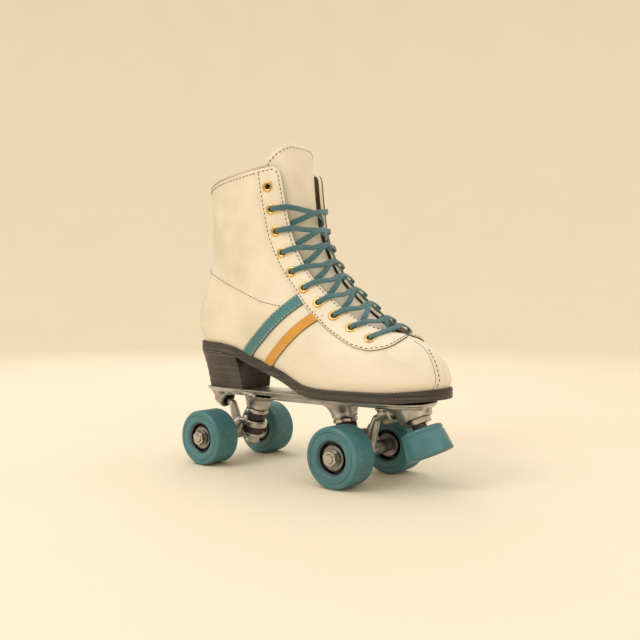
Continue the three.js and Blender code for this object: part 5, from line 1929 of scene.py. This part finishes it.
# ---- trucks
@dataclass
class Truck:
    """One truck: the cast hanger, its axle, the cushion stack on the kingpin and the pivot cup."""

    end: End
    tube_half: float = 32.3
    axle_half: float = 62.5
    upper_cushion: float = 10.4
    lower_cushion: float = 9.2

    def __post_init__(self) -> None:
        """Sets the truck's place."""
        self.axle = Axle(self.end)
        self.body = f"{self.end.label}_truck"

    def node(self, word: str) -> str:
        """Names one of the frame's nodes."""
        return f"{self.end.label}_{word}"

    def hanger(self) -> Piece:
        """Builds the hanger's casting.

        Returns:
            The casting.
        """
        at, down = self.axle.at, self.axle.down_kingpin
        half = self.tube_half
        out = Vector((DOWN.z, 0, -DOWN.x))

        def beside(reach: float, depth: float, y: float = 0.0) -> Vector:
            """Gives a point beside the yoke."""
            return YOKE + out * reach + DOWN * depth + Vector((0, y, 0))

        def bar(name: str, points: Sequence[Vector], sizes: Sequence[float] | float) -> Piece:
            """Makes a round bar in the truck's layout."""
            return swept(name, [at(point) for point in points], sizes, 40)

        pieces = [bar("tube", [Vector((0, y, 0)) for y in (-half, -half + 1.5, -20, 20, half - 1.5, half)],
                      [6.0, 6.6, 6.9, 6.9, 6.6, 6.0]),
                  swept("yoke", [down(YOKE_DEPTH + d) for d in (0, 0.8, 6.2, 7)], [12.4, 13, 13, 12.4], 64),
                  bar("neck", [beside(6, 0), beside(13, 1.0), Vector((1.5, 0, 1.5))], [3.4, 5.2, 6.0])]
        for side in (-1, 1):
            wing = [beside(8, 0, side * 8.5), beside(14, 0.5, side * 10), Vector((0.5, side * 23, 1.2))]
            pieces.append(bar("wing", wing, [3.6, 4.6, 5.2]))
            pieces.append(bar("fillet", [beside(9, 0, side * 4), Vector((2, side * 9, 1))], [3.5, 5.4]))
        elbow = PIVOT - LEAN * 12.4
        nose = [elbow, elbow + LEAN * 3, PIVOT - LEAN * 5, PIVOT - LEAN * 2]
        belt = np.linspace(-1.45, 1.45, 13)
        pieces += [bar("arm", [Vector((0, 0, 0)), elbow * 0.5, elbow], [6.4, 5.2, 4.5]),
                   bar("nose", nose, [4.4, 4.2, 3.5, 3.2]),
                   bar("elbow", [elbow - LEAN * 2.5, elbow, elbow + LEAN * 2], [3.2, 4.6, 4.2]),
                   bar("ball", [PIVOT + LEAN * (4 * math.sin(a)) for a in belt], [4 * math.cos(a) for a in belt])]
        cuts = [swept("upper pocket", [down(YOKE_DEPTH - 9), down(YOKE_DEPTH + 0.05)], 13.9, 64),
                swept("lower pocket", [down(YOKE_DEPTH + 6.95), down(YOKE_DEPTH + 32)], 12.9, 64),
                swept("kingpin hole", [down(YOKE_DEPTH - 1), down(YOKE_DEPTH + 8)], 6.2, 48),
                bar("axle bore", [Vector((0, -half - 2, 0)), Vector((0, half + 2, 0))], 4.15)]
        return cast(f"{self.end.label} hanger", pieces, cuts, 0.62, 5)

    def cup(self, radius: float) -> list[Pair]:
        """Gives a cushion cup's profile."""
        return [(4.2, 0), (radius + 0.6, 0), (radius + 1.6, 0.9), (radius + 1.7, 4.2), (radius + 0.35, 4.2),
                (radius + 0.3, 1.9), (radius - 0.4, 1.4), (4.2, 1.4)]

    def cushion(self, radius: float, height: float) -> list[Pair]:
        """Gives a cushion's barrel-shaped profile."""
        bulge = [(radius - 0.7 + 0.7 * math.sin(math.pi * u), height * u) for u in np.linspace(0.08, 0.92, 9)]
        return [(4.6, 0), (radius - 1.4, 0), *bulge, (radius - 1.4, height), (4.6, height)]

    def build(self) -> None:
        """Builds and dresses the truck."""
        down_way, down = self.axle.way(DOWN), self.axle.down_kingpin
        dress(self.hanger(), "cast alloy", self.body, [self.node("hanger")])
        along = self.axle.way(Vector((0, 1, 0)))
        rod = [threaded("end", self.axle.at(Vector((0, s * 44, 0))), along * s, 4, self.axle_half - 44, 1.0, 7)
               for s in (-1, 1)]
        rod.append(swept("axle middle", [self.axle.at(Vector((0, y, 0))) for y in (-45, 45)], 3.95, 32))
        dress(join(f"{self.end.label} axle", rod), "steel", self.body, [self.node("axle")])

        def stack(word: str, profile: Sequence[Pair], depth: float, finish: str, way: float = 1.0,
                  body: str = ROOT) -> Piece:
            """Turns and dresses a piece on the kingpin."""
            name = f"{self.end.label} {word.replace('_', ' ')}"
            piece = turned(name, profile, down(depth), down_way * way, 72, 0.5)
            return dress(piece, finish, body, [self.node(word)])

        def squeezed(word: str, radius: float, height: float, top: float, held: float, pressed: float) -> None:
            """Builds a cushion on the kingpin, attached to no body."""
            piece = stack(word, self.cushion(radius, height), top, "black rubber", body="")
            place(down(held))
            place(down(pressed))
            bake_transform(piece)

        stack("upper_cup", self.cup(10.4), 0.3, "steel")
        squeezed("upper_cushion", 10.3, self.upper_cushion, 2.2, 2.2, 2.2 + self.upper_cushion)
        low = YOKE_DEPTH + YOKE_HEIGHT + 0.3
        squeezed("lower_cushion", 9.3, self.lower_cushion, low, low + self.lower_cushion, low)
        low += self.lower_cushion + 0.3 + 1.6
        stack("lower_cup", self.cup(9.4), low, "steel", -1.0)
        low += 0.3
        nut = hexagonal(f"{self.end.label} kingpin nut", 13, 6, 4.15, down(low), down_way)
        dress(nut, "steel", ROOT, [self.node("kingpin_nut")])
        pin = threaded(f"{self.end.label} kingpin", down(low + 9), -down_way, 4, low + 22, 1.25)
        dress(pin, "steel", ROOT, [self.node("kingpin")])
        inner = [(4.35 * math.cos(a), 4.35 * math.sin(a)) for a in np.linspace(0, math.pi / 2 - 0.05, 8)]
        profile = [(0, 4.35), *reversed(inner), (4.5, -2.6), (5.0, -3.4), (6.8, -3.4), (7.15, -3.0), (7.15, 6), (0, 6)]
        cup = turned(f"{self.end.label} pivot cup", profile, self.axle.at(PIVOT), self.axle.way(LEAN), 64, 0.3)
        dress(cup, "black rubber", ROOT, [self.node("pivot_cup")])


# ---- wheels
@dataclass
class Wheel:
    """One wheel: the urethane tyre on its hub, two shielded bearings and the nut on the axle."""

    end: End
    side: Side
    track: float = 89.0
    width: float = 30.0
    radius: float = WHEEL_RADIUS

    def build(self) -> None:
        """Builds and dresses the wheel."""
        word = f"{self.end.label}_{self.side.name.lower()}"
        body, sign = f"wheel_{word}", -self.side.value
        middle = Vector((self.end.value * AXLE_X, sign * self.track / 2, WHEEL_RADIUS))
        out = Vector((0, sign, 0))

        dress(self.tyre(word, middle, out), ("teal urethane", "tread urethane"), body,
              [f"{word}_tyre"])
        dress(self.hub(word, middle, out), "dark hub", body, [f"{word}_hub"])
        for name, low, high in (("outer_bearing", 4, 11), ("inner_bearing", -11, -4)):
            ring = [(4.15, low), (4.15, high), (5.9, high), (6.0, high - 0.5), (9.2, high - 0.5), (9.3, high),
                    (10.95, high), (10.95, low), (9.3, low), (9.2, low + 0.5), (6.0, low + 0.5), (5.9, low)]
            piece = turned(f"{word} {name.replace('_', ' ')}", ring, middle, out, 96, 0.2, 4)
            dress(piece, "bearing shield", body, [f"{word}_{name}"])
        start = middle + out * 11.3
        washer = turned("washer", [(4.2, 0), (7.6, 0), (7.6, 0.9), (4.2, 0.9)], start - out * 0.2, out, 64, 0.2)
        nut = hexagonal("nut", 13, 4.7, 4.1, start + out * 0.8, out, 0.3)
        dress(join(f"{word} axle nut", [washer, nut]), "steel", f"{self.end.label}_truck",
              [f"{word}_axle_nut"])

    def tyre(self, word: str, middle: Vector, out: Vector) -> Piece:
        """Builds the tyre with its rounded shoulders, moulded rings and rougher tread.

        Args:
            word: The wheel's name.
            middle: Its middle.
            out: The direction away from the skate.
        Returns:
            The tyre.
        """
        half, full = self.width / 2, self.radius
        bend = 25.4
        face = [(15.4, 12.7), (16.4, 14.3), (17.5, 14.9), (22.6, half), (22.9, half - 0.7), (23.5, half - 0.7),
                (23.8, half), (bend, half - 0.1)]
        shoulder = [(bend + (full - bend) * math.sin(a), half - 0.1 - 3.3 * (1 - math.cos(a)))
                    for a in np.linspace(0.15, math.pi / 2, 9)]
        upper = face + shoulder
        profile = [*upper, *((r, -h) for r, h in reversed(upper))]
        tyre = turned(f"{word} tyre", profile, middle, out, 120, 0.35, 2)
        for finish in ("teal urethane", "tread urethane"):
            tyre.data.materials.append(FINISH[finish])
        axis = place(middle)
        for poly in tyre.data.polygons:
            away = poly.center - axis
            poly.material_index = int(math.hypot(away.x, away.z) > (full - 0.8) * MM)
        return tyre

    def hub(self, word: str, middle: Vector, out: Vector) -> Piece:
        """Builds the hub with a dished face and its bearing seats.

        Args:
            word: The wheel's name.
            middle: Its middle.
            out: The direction away from the skate.
        Returns:
            The hub.
        """
        face = [(11.1, 11.2), (11.4, 11.5), (11.9, 11.3), (12.2, 6.4), (14.0, 6.4), (14.5, 12.2), (15.1, 12.7)]
        upper = [(8.3, 3.6), (11.1, 3.6), *face]
        profile = [*upper, *((r, -h) for r, h in reversed(upper))]
        return turned(f"{word} hub", profile, middle, out, 96, 0.25, 2)


# ---- toe stop
@dataclass
class ToeStop:
    """The toe stop on its threaded stem, with the jam nut under the plate."""

    drop: float = 22.0
    top: float = 19.5
    face: float = 22.0
    tall: float = 25.0

    def build(self) -> None:
        """Builds and dresses the toe stop."""
        base = STOP_ROOT + STOP_WAY * self.drop
        profile = [(0, 12.2), (7.7, 12.2), (7.7, 0), (self.top - 2.2, 0), (self.top - 0.5, 0.6), (self.top, 2),
                   (self.top + 0.2, 3.6), (self.top - 0.35, 4.3), (self.top - 0.3, 5.0), (self.top + 0.4, 5.6),
                   (self.face - 0.2, self.tall - 3.5), (self.face, self.tall - 1.5), (self.face - 1, self.tall),
                   (self.face - 4, self.tall), (self.face - 6, self.tall - 3), (0, self.tall - 3)]
        rubber = turned("toe stop rubber", profile, base, STOP_WAY, 120, 0.6, 3)
        dress(rubber, "teal urethane", "toe_stop", ["toe_stop_rubber"])
        stem = threaded("toe stop stem", base + STOP_WAY * 12, -STOP_WAY, 7.45, 31, 1.5)
        washer = turned("toe stop washer", [(7.6, -0.5), (11.5, -0.5), (11.5, 0), (7.6, 0)], base, STOP_WAY, 64, 0.2)
        dress(join("toe stop stem", [stem, washer]), "steel", "toe_stop", ["toe_stop_stem"])
        nut = hexagonal("toe stop jam nut", 22.4, 4.5, 7.6, STOP_ROOT + STOP_WAY * 12.8, STOP_WAY, 0.2)
        dress(nut, "steel", ROOT, ["toe_stop_jam_nut"])


# ---- studio
def backdrop() -> None:
    """Lays the pale paper that curves up round the skate."""
    flat, wall, segments = 2.6, 2.4, 96
    bend = [(flat + wall * math.sin(t), wall * (1 - math.cos(t))) for t in np.linspace(0, math.pi / 2, 24)]
    profile = [(0.001, 0.0), (1.0, 0.0), *bend, (flat + wall, 3.4)]
    mesh = bpy.data.meshes.new("floor")
    mesh.from_pydata([Vector((r * c, r * s, z)) for r, z in profile for c, s in round_turn(segments)], [],
                     grid_faces(len(profile), segments, True))
    floor = new_object("floor", mesh)
    for face in mesh.polygons:
        face.use_smooth = True
    paper = Shader("paper")
    tone = paper.mix(paper.band(paper.noise(3, 4), 0.35, 0.7, 0, 0.35), (0.84, 0.76, 0.62), (0.81, 0.73, 0.59))
    paper.bump(paper.noise(700, 3), 0.0002, 0.3)
    mesh.materials.append(paper.surface(tone, 0.95, Specular_IOR_Level=0.1))


def lights() -> None:
    """Sets a pale sky, three soft lamps, and three dark cards that only the metal and the brass reflect."""
    world = bpy.data.worlds.new("studio")
    bpy.context.scene.world = world
    world.use_nodes = True
    back = world.node_tree.nodes["Background"]
    back.inputs[0].default_value, back.inputs[1].default_value = (1.0, 0.95, 0.87, 1), 1.15
    target = Vector((0, 0, 0.15))
    for name, at, size, power in (("key", (-0.5, -1.5, 1.5), 0.8, 10), ("fill", (1.7, -0.4, 0.8), 1.1, 2),
                                  ("rim", (-1.2, 1.1, 1.3), 0.9, 5)):
        light = bpy.data.lights.new(name, "AREA")
        light.size, light.energy, light.color = size, power, (1.0, 0.965, 0.91)
        lamp = bpy.data.objects.new(name, light)
        bpy.context.scene.collection.objects.link(lamp)
        lamp.location = at
        lamp.rotation_euler = (Vector(at) - target).to_track_quat("Z", "Y").to_euler()
    for name, turn, width in (("flag right", 5, 0.9), ("flag left", 125, 0.7), ("flag back", 250, 0.8)):
        way = Matrix.Rotation(math.radians(turn), 3, "Z") @ Vector((0, -1, 0))
        side = way.cross(UP) * width / 2
        corners = [way * 1.7 + side * w + UP * z for w, z in ((-1, 0.05), (1, 0.05), (1, 1.1), (-1, 1.1))]
        card = bpy.data.meshes.new(name)
        card.from_pydata(corners, [], [(0, 1, 2, 3)])
        card.materials.append(FINISH["dark piping"])
        flag = new_object(name, card)
        flag.visible_camera = flag.visible_shadow = flag.visible_diffuse = False


def camera() -> None:
    """Sets the camera at a low three-quarter view from the skate's right."""
    lens = bpy.data.cameras.new("camera")
    eye = bpy.data.objects.new("camera", lens)
    bpy.context.scene.collection.objects.link(eye)
    turn, tilt, far = math.radians(40), math.radians(4.4), 0.7609
    way = Vector((math.sin(turn) * math.cos(tilt), -math.cos(turn) * math.cos(tilt), math.sin(tilt)))
    eye.location = Vector((-0.0186, 0, 0.1)) + way * far
    eye.rotation_euler = way.to_track_quat("Z", "Y").to_euler()
    lens.lens, lens.sensor_width, lens.shift_x, lens.shift_y = 42.0, 36, 0.0358, 0.078
    bpy.context.scene.camera = eye
    bpy.context.scene.view_settings.view_transform = "Standard"


def main() -> None:
    """Builds the skate in its studio."""
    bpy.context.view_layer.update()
    Boot().build()
    Sole().build()
    Plate().build()
    for end in End:
        Truck(end).build()
        for side in Side:
            Wheel(end, side).build()
    ToeStop().build()
    backdrop()
    lights()
    camera()


if __name__ == "__main__":
    main()
